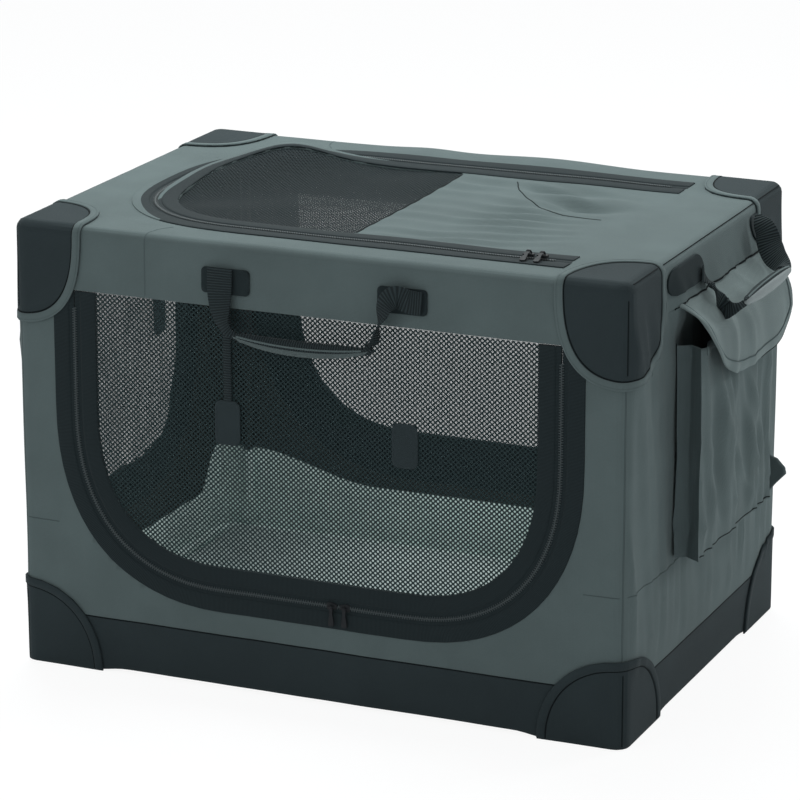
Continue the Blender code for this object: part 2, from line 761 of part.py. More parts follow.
def slider_body(along, out, up, place):
    """A waisted slider with its bail; along the teeth, out of the fabric, up across."""
    frame = Matrix.Identity(4)
    for column, axis in enumerate((along, up, out)):
        for row in range(3):
            frame[row][column] = axis[row]
    for row in range(3):
        frame[row][3] = place[row]
    length, breadth, thickness = SLIDER
    outline = []
    for share, half in ((-0.5, 0.34), (-0.32, 0.48), (-0.05, 0.5), (0.25, 0.36), (0.5, 0.26)):
        outline.append((share * length, half * breadth))
    outline += [(u, -v) for u, v in reversed(outline)]
    body = sheet([outline], thickness, frame)
    rise = thickness - GAP
    top = thickness + BAIL_HEIGHT
    arch = [(-BAIL_HALF, rise), (BAIL_HALF, rise), (BAIL_HALF - GAP, top), (GAP - BAIL_HALF, top)]
    reach = BAIL_HALF - BAIL_LEG
    slot = [(-reach, thickness), (reach, thickness), (reach, top - BAIL_BAR), (-reach, top - BAIL_BAR)]
    rings, cuts = [], []
    for v in (-BAIL_BAR / 2, BAIL_BAR / 2):
        rings.append([frame @ Vector((u, v, w)) for u, w in arch])
        cuts.append([frame @ Vector((u, 2 * v, w)) for u, w in slot])
    bail = boolean(loft(rings), [loft(cuts)], "DIFFERENCE")
    return boolean(body, [bail], "UNION")


def pull_tab(hang, out, side, place):
    """A flat pull with a waist, rolled round the bail's bar at its top."""
    frame = Matrix.Identity(4)
    for column, axis in enumerate((side, hang, out)):
        for row in range(3):
            frame[row][column] = axis[row]
    for row in range(3):
        frame[row][3] = place[row]
    half = PULL_WIDTH / 2
    length = 2 * (BAIL_HALF - BAIL_LEG - GAP)
    root = KNUCKLE_BORE + KNUCKLE_WALL / 2
    profile = [(0.16, 0.62), (0.34, 0.44), (0.55, 0.70), (0.85, 0.98), (0.96, 0.86), (1.0, 0.55)]
    outline = [(-length / 2, root)] + [(-half * w, v * PULL_LENGTH) for v, w in profile]
    outline += [(-u, v) for u, v in reversed(outline)]
    blade = sheet([outline], PULL_THICKNESS, frame @ Matrix.Translation((0, 0, -PULL_THICKNESS / 2)))
    ends = [Vector(place) + Vector(side) * (s * length / 2) for s in (-1, 1)]
    knuckle = cylinder(*ends, KNUCKLE_BORE + KNUCKLE_WALL)
    far = [Vector(place) + Vector(side) * (s * length) for s in (-1, 1)]
    bm = boolean(knuckle, [blade], "UNION")
    return boolean(bm, [cylinder(*far, KNUCKLE_BORE)], "DIFFERENCE")


def build_slider(prefix, joint, place, along, out, hang, drop=0.0):
    """A slider on the zip line and its pull, which drops by so many degrees from hang."""
    along, out, hang = Vector(along), Vector(out), Vector(hang)
    side = out.cross(hang)
    place = Vector(place) + out * (COIL_HEIGHT + GAP)
    body = slider_body(along, out, out.cross(along), place)
    add_piece(f"{prefix}_slider", body, STEEL, 0.35, 0.9, joint, smooth=35)
    pull = place + out * (SLIDER[2] + BAIL_HEIGHT - BAIL_BAR / 2)
    angle = math.radians(drop)
    lean = hang * math.cos(angle) - out * math.sin(angle)
    face = out * math.cos(angle) + hang * math.sin(angle)
    tab = pull_tab(lean, face, side, pull)
    add_piece(f"{prefix}_pull", tab, STEEL, 0.35, 0.9, f"{joint}_pull", smooth=35)


# Floor mat, handles, pocket and small sewn parts

def build_mat():
    half_x = RING_X - TUBE_RADIUS - MAT_CLEARANCE
    half_y = RING_Y - TUBE_RADIUS - MAT_CLEARANCE
    low = SHEET + GAP
    top, bottom = [], []
    columns, rows = 24, 16
    for i in range(rows + 1):
        top_row, bottom_row = [], []
        for j in range(columns + 1):
            s, t = 2 * j / columns - 1, 2 * i / rows - 1
            pull = 1 - 0.012 * (1 - s * s) * abs(t) ** 6 - 0.012 * (1 - t * t) * abs(s) ** 6
            corner = MAT_CORNER * (s * t) ** 12
            x = half_x * s * pull - math.copysign(corner, s)
            y = half_y * t * pull - math.copysign(corner, t)
            crown = (1 - abs(s) ** 5) * (1 - abs(t) ** 5)
            top_row.append((x, y, low + MAT_EDGE + (MAT_THICKNESS - MAT_EDGE) * crown))
            bottom_row.append((x, y, low))
        top.append(top_row)
        bottom.append(bottom_row)
    add_piece("floor_mat", slab(top, bottom), PAD_GREY, 0.95, smooth=50)


def handle_frame(place, along, drop, out):
    frame = Matrix.Identity(4)
    for column, axis in enumerate((along, drop, out)):
        for row in range(3):
            frame[row][column] = axis[row]
    for row in range(3):
        frame[row][3] = place[row]
    return frame


def handle_path(lean):
    """The webbing's line in (along, down, out): two legs and the run through the grip."""
    half = []
    drop = HANDLE_DROP
    turn = HANDLE_SPAN - GRIP_HALF
    half.append((HANDLE_SPAN, 0.0, 0.0, 0.0))
    half.append((HANDLE_SPAN, drop * 0.35, lean * 0.35, 0.3))
    half.append((HANDLE_SPAN - turn * 0.10, drop * 0.62, lean * 0.62, 0.6))
    half.append((HANDLE_SPAN - turn * 0.42, drop * 0.82, lean * 0.85, 0.85))
    half.append((GRIP_HALF, drop * 0.91, lean * 0.96, 1.0))
    half.append((GRIP_HALF * 0.5, drop * 0.98, lean, 1.0))
    return [(-u, v, w, k) for u, v, w, k in half] + [(0.0, drop, lean, 1.0)] + half[::-1]


def strap_section(share, spare):
    """Flat webbing at the anchors, gathered to a narrow core inside the grip."""
    half_a = STRAP_HALF + (GRIP_RADIUS * 0.42 - STRAP_HALF) * share + spare
    half_b = STRAP_THICKNESS / 2 + (GRIP_RADIUS * 0.50 - STRAP_THICKNESS / 2) * share + spare
    return [(half_a, half_b), (-half_a, half_b), (-half_a, -half_b), (half_a, -half_b)]


def build_handle(prefix, joint, frame, lean):
    route = handle_path(lean)
    out = (frame.to_3x3() @ Vector((0, 0, 1))).normalized()
    points = [frame @ Vector((u, v, w)) for u, v, w, _ in route]
    strap = sweep(points, [strap_section(k, 0.0) for *_, k in route], out)
    add_piece(f"{prefix}_handle_strap", strap, BINDING, joint=joint, smooth=50)
    core = sweep(points, [strap_section(k, GAP) for *_, k in route], out)
    grip_points, sections = [], []
    ends = 8
    for step in range(ends + 1):
        share = 2 * step / ends - 1
        u = GRIP_HALF * share
        v = HANDLE_DROP * (1 - 0.09 * share * share)
        taper = 1 - 0.45 * abs(share) ** 4
        grip_points.append(frame @ Vector((u, v, lean * (1 - 0.04 * share * share))))
        sections.append([(a * taper, b * taper) for a, b in circle_section(GRIP_RADIUS, 10, 0.95)])
    grip = boolean(sweep(grip_points, sections, out), [core], "DIFFERENCE")
    add_piece(f"{prefix}_handle_grip", grip, CHARCOAL, joint=joint, smooth=50)


def anchor_outline(middle_u, middle_v, size, corner):
    corners = rounded_rectangle(size[0] / 2, size[1] / 2, corner)
    return [(middle_u + u, middle_v + v) for u, v in corners]


def build_handles():
    height = HEIGHT - FRONT_ANCHOR_DROP
    proud = GAP + ANCHOR_THICKNESS
    for name, sign in (("left", -1), ("right", 1)):
        outline = anchor_outline(sign * HANDLE_SPAN, height, ANCHOR_SIZE, ANCHOR_CORNER)
        bm = sheet([outline], ANCHOR_THICKNESS, front_frame(-proud))
        add_piece(f"front_handle_anchor_{name}", bm, BINDING, joint="top")
    out = proud + GAP + STRAP_THICKNESS / 2
    frame = handle_frame((0, -HALF_Y - out, height), (1, 0, 0), (0, 0, -1), (0, -1, 0))
    build_handle("front", "front_handle", frame, HANDLE_LEAN)
    height = HEIGHT - END_ANCHOR_DROP
    for name, sign in (("front", -1), ("back", 1)):
        middle = sign * (HANDLE_SPAN - END_ANCHOR_INSET)
        outline = anchor_outline(middle, height, END_ANCHOR_SIZE, END_ANCHOR_CORNER)
        bm = sheet([outline], ANCHOR_THICKNESS, right_frame(-proud))
        add_piece(f"end_handle_anchor_{name}", bm, BINDING, joint="top")
    angle = math.radians(END_HANDLE_ANGLE)
    reach = HALF_X + proud + GAP + STRAP_THICKNESS
    drop = (math.sin(angle), 0, -math.cos(angle))
    normal = (math.cos(angle), 0, math.sin(angle))
    frame = handle_frame((reach, 0, height), (0, 1, 0), drop, normal)
    build_handle("end", "end_handle", frame, 0.0)


def build_pocket():
    """Bellows pocket: pleated gussets, a face and a bottom, open at the top and to the wall."""
    wall_x = HALF_X + GAP
    face = wall_x + POCKET_DEPTH
    half = POCKET_HALF
    outer = [(wall_x, half), (wall_x + POCKET_DEPTH / 2, half - POCKET_PLEAT), (face, half)]
    outer += [(x, -y) for x, y in reversed(outer)]
    t = POCKET_SHEET
    inner = [(wall_x, half - t), (wall_x + POCKET_DEPTH / 2, half - POCKET_PLEAT - t),
             (face - t, half - t * 1.6)]
    inner += [(x, -y) for x, y in reversed(inner)]
    floor = Matrix.Translation((0, 0, POCKET_BOTTOM))
    side = sheet([outer + inner[::-1]], POCKET_TOP - POCKET_BOTTOM, floor)
    bottom = sheet([outer], t, floor)
    add_piece("cargo_pocket", boolean(side, [bottom], "UNION"), GREY)


def build_flap():
    """Pocket flap: out from the seam over the pocket, then down its face, with round corners."""
    seam_x, seam_z = HALF_X + GAP, END_HEADER_LOW - FLAP_SEAM_DROP
    reach = [
        (0.044, 0.0), (0.12, 0.05), (0.38, 0.13), (0.68, 0.24), (0.90, 0.40), (0.99, 0.58),
        (1.0, 0.78), (0.97, 1.0),
    ]
    profile = [(seam_x + r * FLAP_STANDOFF, seam_z - d * FLAP_DROP) for r, d in reach]
    front, back = [], []
    columns = 10
    for i, (x, z) in enumerate(profile):
        before = Vector(profile[max(i - 1, 0)])
        after = Vector(profile[min(i + 1, len(profile) - 1)])
        along = (after - before).normalized()
        normal = Vector((-along.y, along.x)) if i else Vector((1, 0))
        front_row, back_row = [], []
        for j in range(columns + 1):
            s = 2 * j / columns - 1
            droop = (1 - math.sqrt(max(0.0, 1 - abs(s) ** 4))) * 0.45
            rise = max(0.0, i / (len(profile) - 1) - 0.4) / 0.6
            y = s * FLAP_HALF * (1 - 0.06 * rise)
            lift = droop * rise * FLAP_DROP * 0.55
            front_row.append((x, y, z + lift))
            back_row.append((x - normal.x * FLAP_SHEET, y, z - normal.y * FLAP_SHEET + lift))
        front.append(front_row)
        back.append(back_row)
    add_piece("pocket_flap", slab(front, back), GREY, joint="pocket_flap", smooth=50)


def build_small_parts():
    half = LOOP_THICKNESS / 2
    middle = (LOOP_LOW + LOOP_HIGH) / 2
    root = HALF_X + GAP
    loop = [
        (root, LOOP_LOW), (root + LOOP_REACH * 0.55, middle - 0.008),
        (root + LOOP_REACH, middle + 0.006), (root + LOOP_REACH * 0.92, middle + 0.014),
        (root + LOOP_REACH * 0.5, LOOP_HIGH - 0.004), (root, LOOP_HIGH),
    ]
    frame = Matrix(((1, 0, 0, 0), (0, 0, 1, LOOP_Y - half), (0, 1, 0, 0), (0, 0, 0, 1)))
    add_piece("end_loop", sheet([loop], LOOP_THICKNESS, frame), CHARCOAL)

    pad_w, pad_h = PAD_SIZE
    pad_top = PAD_HEIGHT + pad_h / 2
    pad = [(u + TIE_X, v + PAD_HEIGHT) for u, v in rounded_rectangle(pad_w / 2, pad_h / 2, 0.007)]
    strap_top = HEADER_LOW + TIE_OVERLAP
    depth = -(COIL_HEIGHT + GAP + PAD_THICKNESS)
    strap = [
        (TIE_X - TIE_WIDTH / 2, pad_top - 0.006), (TIE_X + TIE_WIDTH / 2, pad_top - 0.006),
        (TIE_X + TIE_WIDTH / 2, strap_top), (TIE_X - TIE_WIDTH / 2, strap_top),
    ]
    tie = boolean(
        sheet([pad], PAD_THICKNESS, front_frame(depth)),
        [sheet([strap], TIE_THICKNESS, front_frame(depth + (PAD_THICKNESS - TIE_THICKNESS) / 2))],
        "UNION",
    )
    add_piece("tie_strap", tie, BINDING, joint="tie_strap")

    net_face = (SHEET - NET_THICKNESS) / 2
    pad = [(u + DOOR_PAD_X, v + PAD_HEIGHT) for u, v in rounded_rectangle(pad_w / 2, pad_h / 2, 0.009)]
    depth = net_face - GAP - PAD_THICKNESS
    front_pad = sheet([pad], PAD_THICKNESS, front_frame(depth))
    add_piece("front_door_pad", front_pad, BINDING, joint="front_door")
    pad = [(u + LEFT_PAD_Y, v + PAD_HEIGHT) for u, v in rounded_rectangle(pad_w / 2, pad_h / 2, 0.009)]
    add_piece("left_door_pad", sheet([pad], PAD_THICKNESS, left_frame(depth)), BINDING, joint="left_door")


def build_joints():
    joint_empty("left_lower", (-PIVOT_X, 0, LOW_PIVOT_Z))
    joint_empty("left_upper", (-PIVOT_X, 0, KNEE_Z), "left_lower")
    joint_empty("top", (-PIVOT_X, 0, HIGH_PIVOT_Z), "left_upper")
    joint_empty("right_lower", (PIVOT_X, 0, LOW_PIVOT_Z))
    joint_empty("right_upper", (PIVOT_X, 0, KNEE_Z), "right_lower")
    joint_empty("front_door", (0, SHEET / 2 - HALF_Y, HEADER_LOW - HINGE_GAP - SHEET / 2))
    joint_empty("left_door", (SHEET / 2 - HALF_X, 0, END_HEADER_LOW - HINGE_GAP - SHEET / 2))
    joint_empty("roof_door", (ROOF_HINGE - HINGE_GAP - SHEET / 2, 0, HEIGHT - SHEET / 2), "top")
    out = GAP * 2 + ANCHOR_THICKNESS + STRAP_THICKNESS / 2
    joint_empty("front_handle", (0, -HALF_Y - out, HEIGHT - FRONT_ANCHOR_DROP), "top")
    reach = GAP * 2 + ANCHOR_THICKNESS + STRAP_THICKNESS
    joint_empty("end_handle", (HALF_X + reach, 0, HEIGHT - END_ANCHOR_DROP), "top")
    joint_empty("pocket_flap", (HALF_X + GAP, 0, END_HEADER_LOW - FLAP_SEAM_DROP))
    tie_y = -HALF_Y - COIL_HEIGHT - GAP - PAD_THICKNESS / 2
    joint_empty("tie_strap", (TIE_X, tie_y, HEADER_LOW + TIE_OVERLAP), "top")


def build_sliders():
    lift = COIL_HEIGHT + GAP + SLIDER[2] + BAIL_HEIGHT - BAIL_BAR / 2
    front_y = -HALF_Y
    apart = SLIDER_SPACING / 2
    for name, x in (("left", FRONT_SLIDER_X - apart), ("right", FRONT_SLIDER_X + apart)):
        joint = f"front_{name}_slider"
        place = (x, front_y, FRONT_BOTTOM)
        joint_empty(joint, place)
        joint_empty(f"{joint}_pull", (x, front_y - lift, FRONT_BOTTOM), joint)
        along = (1, 0, 0) if name == "left" else (-1, 0, 0)
        build_slider(f"front_{name}", joint, place, along, (0, -1, 0), (0, 0, -1))
    for name, x in (("left", ROOF_SLIDER_X - apart), ("right", ROOF_SLIDER_X + apart)):
        joint = f"roof_{name}_slider"
        place = (x, -ROOF_HALF, HEIGHT)
        joint_empty(joint, place, "roof_door")
        joint_empty(f"{joint}_pull", (x, -ROOF_HALF, HEIGHT + lift), joint)
        along = (1, 0, 0) if name == "left" else (-1, 0, 0)
        build_slider(f"roof_{name}", joint, place, along, (0, 0, 1), (0, -1, 0), ROOF_PULL_DROP)
    place = (-HALF_X, 0, LEFT_BOTTOM)
    joint_empty("left_door_slider", place)
    joint_empty("left_door_slider_pull", (-HALF_X - lift, 0, LEFT_BOTTOM), "left_door_slider")
    build_slider("left_door", "left_door_slider", place, (0, 1, 0), (-1, 0, 0), (0, 0, -1))


def main():
    clear_scene()
    build_joints()
    front_path = opening_path(FRONT_HALF, FRONT_BOTTOM, HEADER_LOW, FRONT_CORNER)
    left_path = opening_path(LEFT_HALF, LEFT_BOTTOM, END_HEADER_LOW, LEFT_CORNER)
    roof_path = opening_path(ROOF_HALF, ROOF_APEX, ROOF_HINGE, ROOF_CORNER)
    build_frame()
    build_base_cover()
    build_mat()
    build_walls(front_path, left_path)
    build_top_cover(roof_path)
    build_patches()
    build_side_door(
        "front", front_path, FRONT_BARE, front_frame, "front_door", FRONT_PITCH, HEADER_LOW
    )
    build_side_door(
        "left", left_path, LEFT_BARE, left_frame, "left_door", LEFT_PITCH, END_HEADER_LOW
    )
    build_back_window()
    build_roof_door(roof_path)
    build_sliders()
    build_handles()
    build_pocket()
    build_flap()
    build_small_parts()


main()
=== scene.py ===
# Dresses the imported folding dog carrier: sewn shell, nets, zips, handles, mat and frame
import math

import bmesh
import bpy
from mathutils import Matrix, Vector, noise
from mathutils.bvhtree import BVHTree


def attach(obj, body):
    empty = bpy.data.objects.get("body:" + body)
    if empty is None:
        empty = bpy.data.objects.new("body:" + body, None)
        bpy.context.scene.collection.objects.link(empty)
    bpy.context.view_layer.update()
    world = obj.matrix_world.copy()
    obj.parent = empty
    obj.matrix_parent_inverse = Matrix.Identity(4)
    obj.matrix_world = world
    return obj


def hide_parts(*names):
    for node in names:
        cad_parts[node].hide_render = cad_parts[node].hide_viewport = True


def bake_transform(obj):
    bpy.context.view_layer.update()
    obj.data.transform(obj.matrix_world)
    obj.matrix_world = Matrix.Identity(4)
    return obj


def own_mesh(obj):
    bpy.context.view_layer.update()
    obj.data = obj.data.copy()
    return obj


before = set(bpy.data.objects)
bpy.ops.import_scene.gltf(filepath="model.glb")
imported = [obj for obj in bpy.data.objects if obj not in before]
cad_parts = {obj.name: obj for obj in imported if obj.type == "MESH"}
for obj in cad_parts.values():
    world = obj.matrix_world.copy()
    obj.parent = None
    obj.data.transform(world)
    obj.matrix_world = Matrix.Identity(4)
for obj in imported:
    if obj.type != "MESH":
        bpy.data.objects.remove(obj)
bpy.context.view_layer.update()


# The shell's own measures, in metres
shell = {
    "halfX": 0.381, "halfY": 0.2665, "height": 0.541, "gap": 0.0003,
    "bandTop": 0.068, "headerSide": 0.466, "headerEnd": 0.483, "rimRadius": 0.01,
}
halfX, halfY, height = shell["halfX"], shell["halfY"], shell["height"]


# Camera, lights and floor
view = {
    "place": (1.78192, -4.11904, 1.62912), "tilt": 90 - 16.554, "turn": 23.488, "roll": -0.103,
    "lens": 175.3, "film": 36, "reach": 50,
}
lamps = {  # place, target, side and watts
    "skyLamp": ((-0.5, 0.9, 2.5), (0, 0, 0.3), 1.5, 63.0),
    "frontLamp": ((-1.2, -3.0, 1.6), (0, 0, 0.25), 1.8, 12.0),
    "sideLamp": ((2.2, 2.3, 1.5), (0.3, 0, 0.3), 0.8, 24.0),
    "cabinLamp": ((0.0, 0.02, 0.5), (0, 0.02, 0), 0.42, 0.9),  # the light that real nets let in
}
setting = {
    "sky": (0.93, 0.97, 1.0, 1), "skyStrength": 0.52, "lampColour": (0.93, 1.0, 1.0),
    "paper": (0.86, 0.87, 0.88, 1), "paperGlow": 1.06, "glowShare": 0.86, "floorSize": 14, "floorDrop": 0.0012,
}


def newObject(name, data):
    made = bpy.data.objects.new(name, data)
    bpy.context.scene.collection.objects.link(made)
    return made


lens = bpy.data.cameras.new("photoCamera")
lens.lens, lens.sensor_width, lens.clip_end = view["lens"], view["film"], view["reach"]
camera = newObject("photoCamera", lens)
aim = Matrix.Translation(view["place"])
for angle, axis in (("turn", "Z"), ("tilt", "X"), ("roll", "Z")):
    aim = aim @ Matrix.Rotation(math.radians(view[angle]), 4, axis)
camera.matrix_world = aim
bpy.context.scene.camera = camera
bpy.context.scene.view_settings.view_transform = "Standard"


# Adds a node with its settings; each input takes a plain value or another node's output
def addNode(tree, kind, inputs=(), **settings):
    node = tree.nodes.new("ShaderNode" + kind)
    for name, value in settings.items():
        setattr(node, name, value)
    for socket, value in dict(inputs).items():
        if isinstance(value, bpy.types.NodeSocket):
            tree.links.new(value, node.inputs[socket])
        else:
            node.inputs[socket].default_value = value
    return node


def maths(tree, operation, *values):
    return addNode(tree, "Math", enumerate(values), operation=operation).outputs[0]


def ranged(tree, value, source, result, **settings):
    ends = {"From Min": source[0], "From Max": source[1], "To Min": result[0], "To Max": result[1]}
    return addNode(tree, "MapRange", {"Value": value, **ends}, **settings).outputs[0]


def noiseOf(tree, place, scale, detail):
    return addNode(tree, "TexNoise", {"Vector": place, "Scale": scale, "Detail": detail}).outputs["Fac"]


def newTree(owner):
    owner.use_nodes = True
    owner.node_tree.nodes.clear()
    return owner.node_tree


# Camera rays, and those that look through nets or off gloss, see the plain background
def plainMix(tree, lit, plain, share=1.0):
    rays = addNode(tree, "LightPath").outputs
    seen = maths(tree, "MAXIMUM", rays["Is Camera Ray"], rays["Is Transmission Ray"])
    seen = maths(tree, "MAXIMUM", seen, rays["Is Glossy Ray"])
    if share < 1:
        seen = maths(tree, "MULTIPLY", seen, share)
    return addNode(tree, "MixShader", {"Fac": seen, 1: lit.outputs[0], 2: plain.outputs[0]}).outputs[0]


def studio():
    world = bpy.data.worlds.new("studio")
    tree = newTree(world)
    soft = addNode(tree, "Background", {"Color": setting["sky"], "Strength": setting["skyStrength"]})
    white = addNode(tree, "Background", {"Strength": 1.0})
    addNode(tree, "OutputWorld", {"Surface": plainMix(tree, soft, white)})
    bpy.context.scene.world = world
    for name, (place, target, side, watts) in lamps.items():
        light = bpy.data.lights.new(name, "AREA")
        light.size, light.energy, light.color = side, watts, setting["lampColour"]
        lamp = newObject(name, light)
        lamp.visible_camera = False
        lamp.location = place
        lamp.rotation_euler = (Vector(place) - Vector(target)).to_track_quat("Z", "Y").to_euler()


def paleFloor():
    bpy.ops.object.select_all(action="DESELECT")
    bpy.ops.mesh.primitive_plane_add(size=setting["floorSize"], location=(0, 0, -setting["floorDrop"]))
    floor = bpy.context.active_object
    floor.name = "floor"
    made = bpy.data.materials.new("floorPaper")
    tree = newTree(made)
    matt = addNode(tree, "BsdfDiffuse", {"Color": setting["paper"]})
    glow = addNode(tree, "Emission", {"Strength": setting["paperGlow"]})
    addNode(tree, "OutputMaterial", {"Surface": plainMix(tree, matt, glow, setting["glowShare"])})
    floor.data.materials.append(made)


studio()
paleFloor()
print("camera, lights and floor are set")


# Materials
colours = {
    "shellCloth": (0.098, 0.126, 0.126), "charcoalCloth": (0.026, 0.036, 0.039),
    # flap: the shell cloth painted lighter, painted light on the flap that lies in the handle's shade
    "gusset": (0.084, 0.108, 0.11), "flap": (0.152, 0.188, 0.186), "lining": (0.8, 0.9, 0.87),
    "tape": (0.011, 0.0175, 0.0195), "teeth": (0.036, 0.049, 0.052), "net": (0.014, 0.028, 0.03),
    # roofNet: the net colour painted darker, painted shade against the strong light on the roof
    "roofNet": (0.008, 0.014, 0.016), "webbing": (0.018, 0.026, 0.028), "anchor": (0.017, 0.025, 0.027),
    # the end grip's cloth is the grip cloth painted lighter: a painted highlight
    "gripCloth": (0.085, 0.106, 0.106), "gripLight": (0.25, 0.28, 0.28), "matCloth": (0.46, 0.53, 0.515),
    # seam and softSeam: dark lines painted for the shade in sewn grooves and along box edges
    "seam": (0.005, 0.008, 0.009), "softSeam": (0.074, 0.096, 0.097),
    "steel": (0.012, 0.012, 0.013), "zipMetal": (0.011, 0.013, 0.015),
}


# The last nodes of a material: its colour times a shade, a bump and the shader's own values
def shaded(name, tree, colour, shade, relief, strength, deep, values):
    bump = addNode(tree, "Bump", {"Height": relief, "Strength": strength, "Distance": deep})
    tint = addNode(tree, "VectorMath", {0: colours[colour], "Scale": shade}, operation="SCALE")
    values.update({"Base Color": tint.outputs[0], "Normal": bump.outputs[0]})
    shader = addNode(tree, "BsdfPrincipled", values)
    addNode(tree, "OutputMaterial", {"Surface": shader.outputs[0]})
    return bpy.data.materials[name]


# Pale up to the tray's lining, whose top edge climbs towards the far left corner, and dark above it
tray = {
    "edge": (0.067, 0.069), "backFrom": (0.2, 0.255), "leftFrom": (-0.33, -0.16), "climb": (0.052, 0.018),
}


def twoTone(tree, axes, shade, dark):
    back = ranged(tree, axes[1], tray["backFrom"], (0.0, 1.0), interpolation_type="SMOOTHSTEP")
    climb = ranged(tree, axes[0], tray["leftFrom"], tray["climb"], interpolation_type="SMOOTHSTEP")
    above = maths(tree, "SUBTRACT", axes[2], maths(tree, "MULTIPLY", back, climb))
    share = ranged(tree, above, tray["edge"], (1.0, dark), interpolation_type="SMOOTHSTEP")
    return maths(tree, "MULTIPLY", shade, share)


# A woven cloth: threads over and under, fine fuzz and a slow change of shade
def clothMaterial(name, colour, thread=0.0015, relief=0.0001, mottle=0.07, sheen=0.06, dark=None):
    tree = newTree(bpy.data.materials.new(name))
    place = addNode(tree, "TexCoord").outputs["Object"]
    axes = addNode(tree, "SeparateXYZ", {0: place}).outputs
    x, y, z = (maths(tree, "SINE", maths(tree, "MULTIPLY", axis, 2 * math.pi / thread)) for axis in axes)
    crossings = [maths(tree, "MULTIPLY", a, b) for a, b in ((x, y), (y, z), (z, x))]
    woven = maths(tree, "ADD", maths(tree, "ADD", crossings[0], crossings[1]), crossings[2])
    surface = maths(tree, "MULTIPLY_ADD", woven, 0.35, noiseOf(tree, place, 620, 3))
    slow = ranged(tree, noiseOf(tree, place, 14, 4), (0.3, 0.7), (1 - mottle, 1 + mottle))
    shade = maths(tree, "MULTIPLY", slow, ranged(tree, surface, (-0.4, 1.6), (0.9, 1.08)))
    if dark is not None:
        shade = twoTone(tree, axes, shade, dark)
    values = {"Roughness": 0.94, "Specular IOR Level": 0.15, "Sheen Weight": sheen, "Sheen Roughness": 0.5}
    return shaded(name, tree, colour, shade, surface, 0.55, relief * 3, values)


# Woven tape: ribs across its run, read from the piece's own UV map in metres
def ribbedMaterial(name, colour, rib, relief):
    tree = newTree(bpy.data.materials.new(name))
    flat = addNode(tree, "UVMap", uv_map="run").outputs[0]
    along = addNode(tree, "SeparateXYZ", {0: flat}).outputs[0]
    ribs = maths(tree, "SINE", maths(tree, "MULTIPLY", along, 2 * math.pi / rib))
    surface = maths(tree, "MULTIPLY_ADD", noiseOf(tree, flat, 900, 2), 0.6, ribs)
    shade = ranged(tree, surface, (-1.0, 1.6), (0.45, 1.7))
    values = {"Roughness": 0.8, "Specular IOR Level": 0.15, "Sheen Weight": 0.02}
    return shaded(name, tree, colour, shade, surface, 0.8, relief, values)


# Knitted mesh: staggered round holes, with the yarn thickest between them
netHoles = {"across": 0.0062, "up": 0.0058, "radius": 0.00138, "soft": 0.00018, "lit": 0.85}


def netMaterial(name, colour, axisA, axisB, fine=1.0, lean=0.0, wide=1.0, shine=0.2):
    tree = newTree(bpy.data.materials.new(name))
    place = addNode(tree, "TexCoord").outputs["Object"]
    axes = addNode(tree, "SeparateXYZ", {0: place}).outputs
    leaning = maths(tree, "ADD", axes[axisA], maths(tree, "MULTIPLY", axes[axisB], lean))
    away = []
    for shift in (400.5, 401.0):  # two rows of cells, each centred between the other's
        squares = []
        for run, cell in ((leaning, netHoles["across"] * fine), (axes[axisB], netHoles["up"] * fine)):
            cells = maths(tree, "ADD", maths(tree, "DIVIDE", run, cell), shift)
            inCell = maths(tree, "SUBTRACT", maths(tree, "FRACT", cells), 0.5)
            inCell = maths(tree, "MULTIPLY", inCell, cell)
            squares.append(maths(tree, "MULTIPLY", inCell, inCell))
        away.append(maths(tree, "SQRT", maths(tree, "ADD", *squares)))
    nearest = maths(tree, "MINIMUM", *away)
    radius, soft = netHoles["radius"] * fine * wide, netHoles["soft"] * min(fine * 1.5, 1.0)
    yarn = ranged(tree, nearest, (radius - soft, radius + soft), (0.0, 1.0))
    # The yarn is painted lighter at its crown and darker towards the holes, a painted shading of the round
    # strands; the crown also drives the bump
    crown = ranged(tree, nearest, (radius, radius * 2.4), (0.75, 1.25))
    rays = addNode(tree, "LightPath").outputs
    lit = maths(tree, "MAXIMUM", rays["Is Shadow Ray"], rays["Is Diffuse Ray"])
    thin = maths(tree, "SUBTRACT", 1.0, maths(tree, "MULTIPLY", lit, netHoles["lit"]))
    values = {"Alpha": maths(tree, "MULTIPLY", yarn, thin), "Roughness": 0.75, "Specular IOR Level": shine}
    return shaded(name, tree, colour, crown, crown, 0.6, 0.0004, values)


# Painted metal or moulded teeth, with a faint orange peel and worn, brighter specks
def paintedMaterial(name, colour, rough, coat, grain, shine=0.5):
    tree = newTree(bpy.data.materials.new(name))
    peel = noiseOf(tree, addNode(tree, "TexCoord").outputs["Object"], grain, 3)
    shade = ranged(tree, peel, (0, 1), (0.8, 1.25))
    gloss = ranged(tree, peel, (0, 1), (rough - 0.08, rough + 0.1))
    values = {"Roughness": gloss, "Coat Weight": coat, "Specular IOR Level": shine}
    return shaded(name, tree, colour, shade, peel, 0.25, 0.00012, values)


shellCloth = clothMaterial("shellCloth", "shellCloth")
charcoalCloth = clothMaterial("charcoalCloth", "charcoalCloth", mottle=0.06, sheen=0.03)
anchorCloth = clothMaterial("anchorCloth", "anchor", mottle=0.05, sheen=0.02)
liningCloth = clothMaterial("liningCloth", "lining", thread=0.0012, sheen=0.0, dark=0.035)
matCloth = clothMaterial("matCloth", "matCloth", thread=0.0024, relief=0.0003, mottle=0.05, sheen=0.2)
gripCloth = clothMaterial("gripCloth", "gripCloth", thread=0.0011)
# The flap's cloth is the shell cloth painted lighter: painted light where the handle shades the flap
flapCloth = clothMaterial("flapCloth", "flap")
# The end grip's lighter cloth is a painted highlight on the same grip cloth
gripLight = clothMaterial("gripLight", "gripLight", thread=0.0011)
gussetCloth = clothMaterial("gussetCloth", "gusset", sheen=0.0)
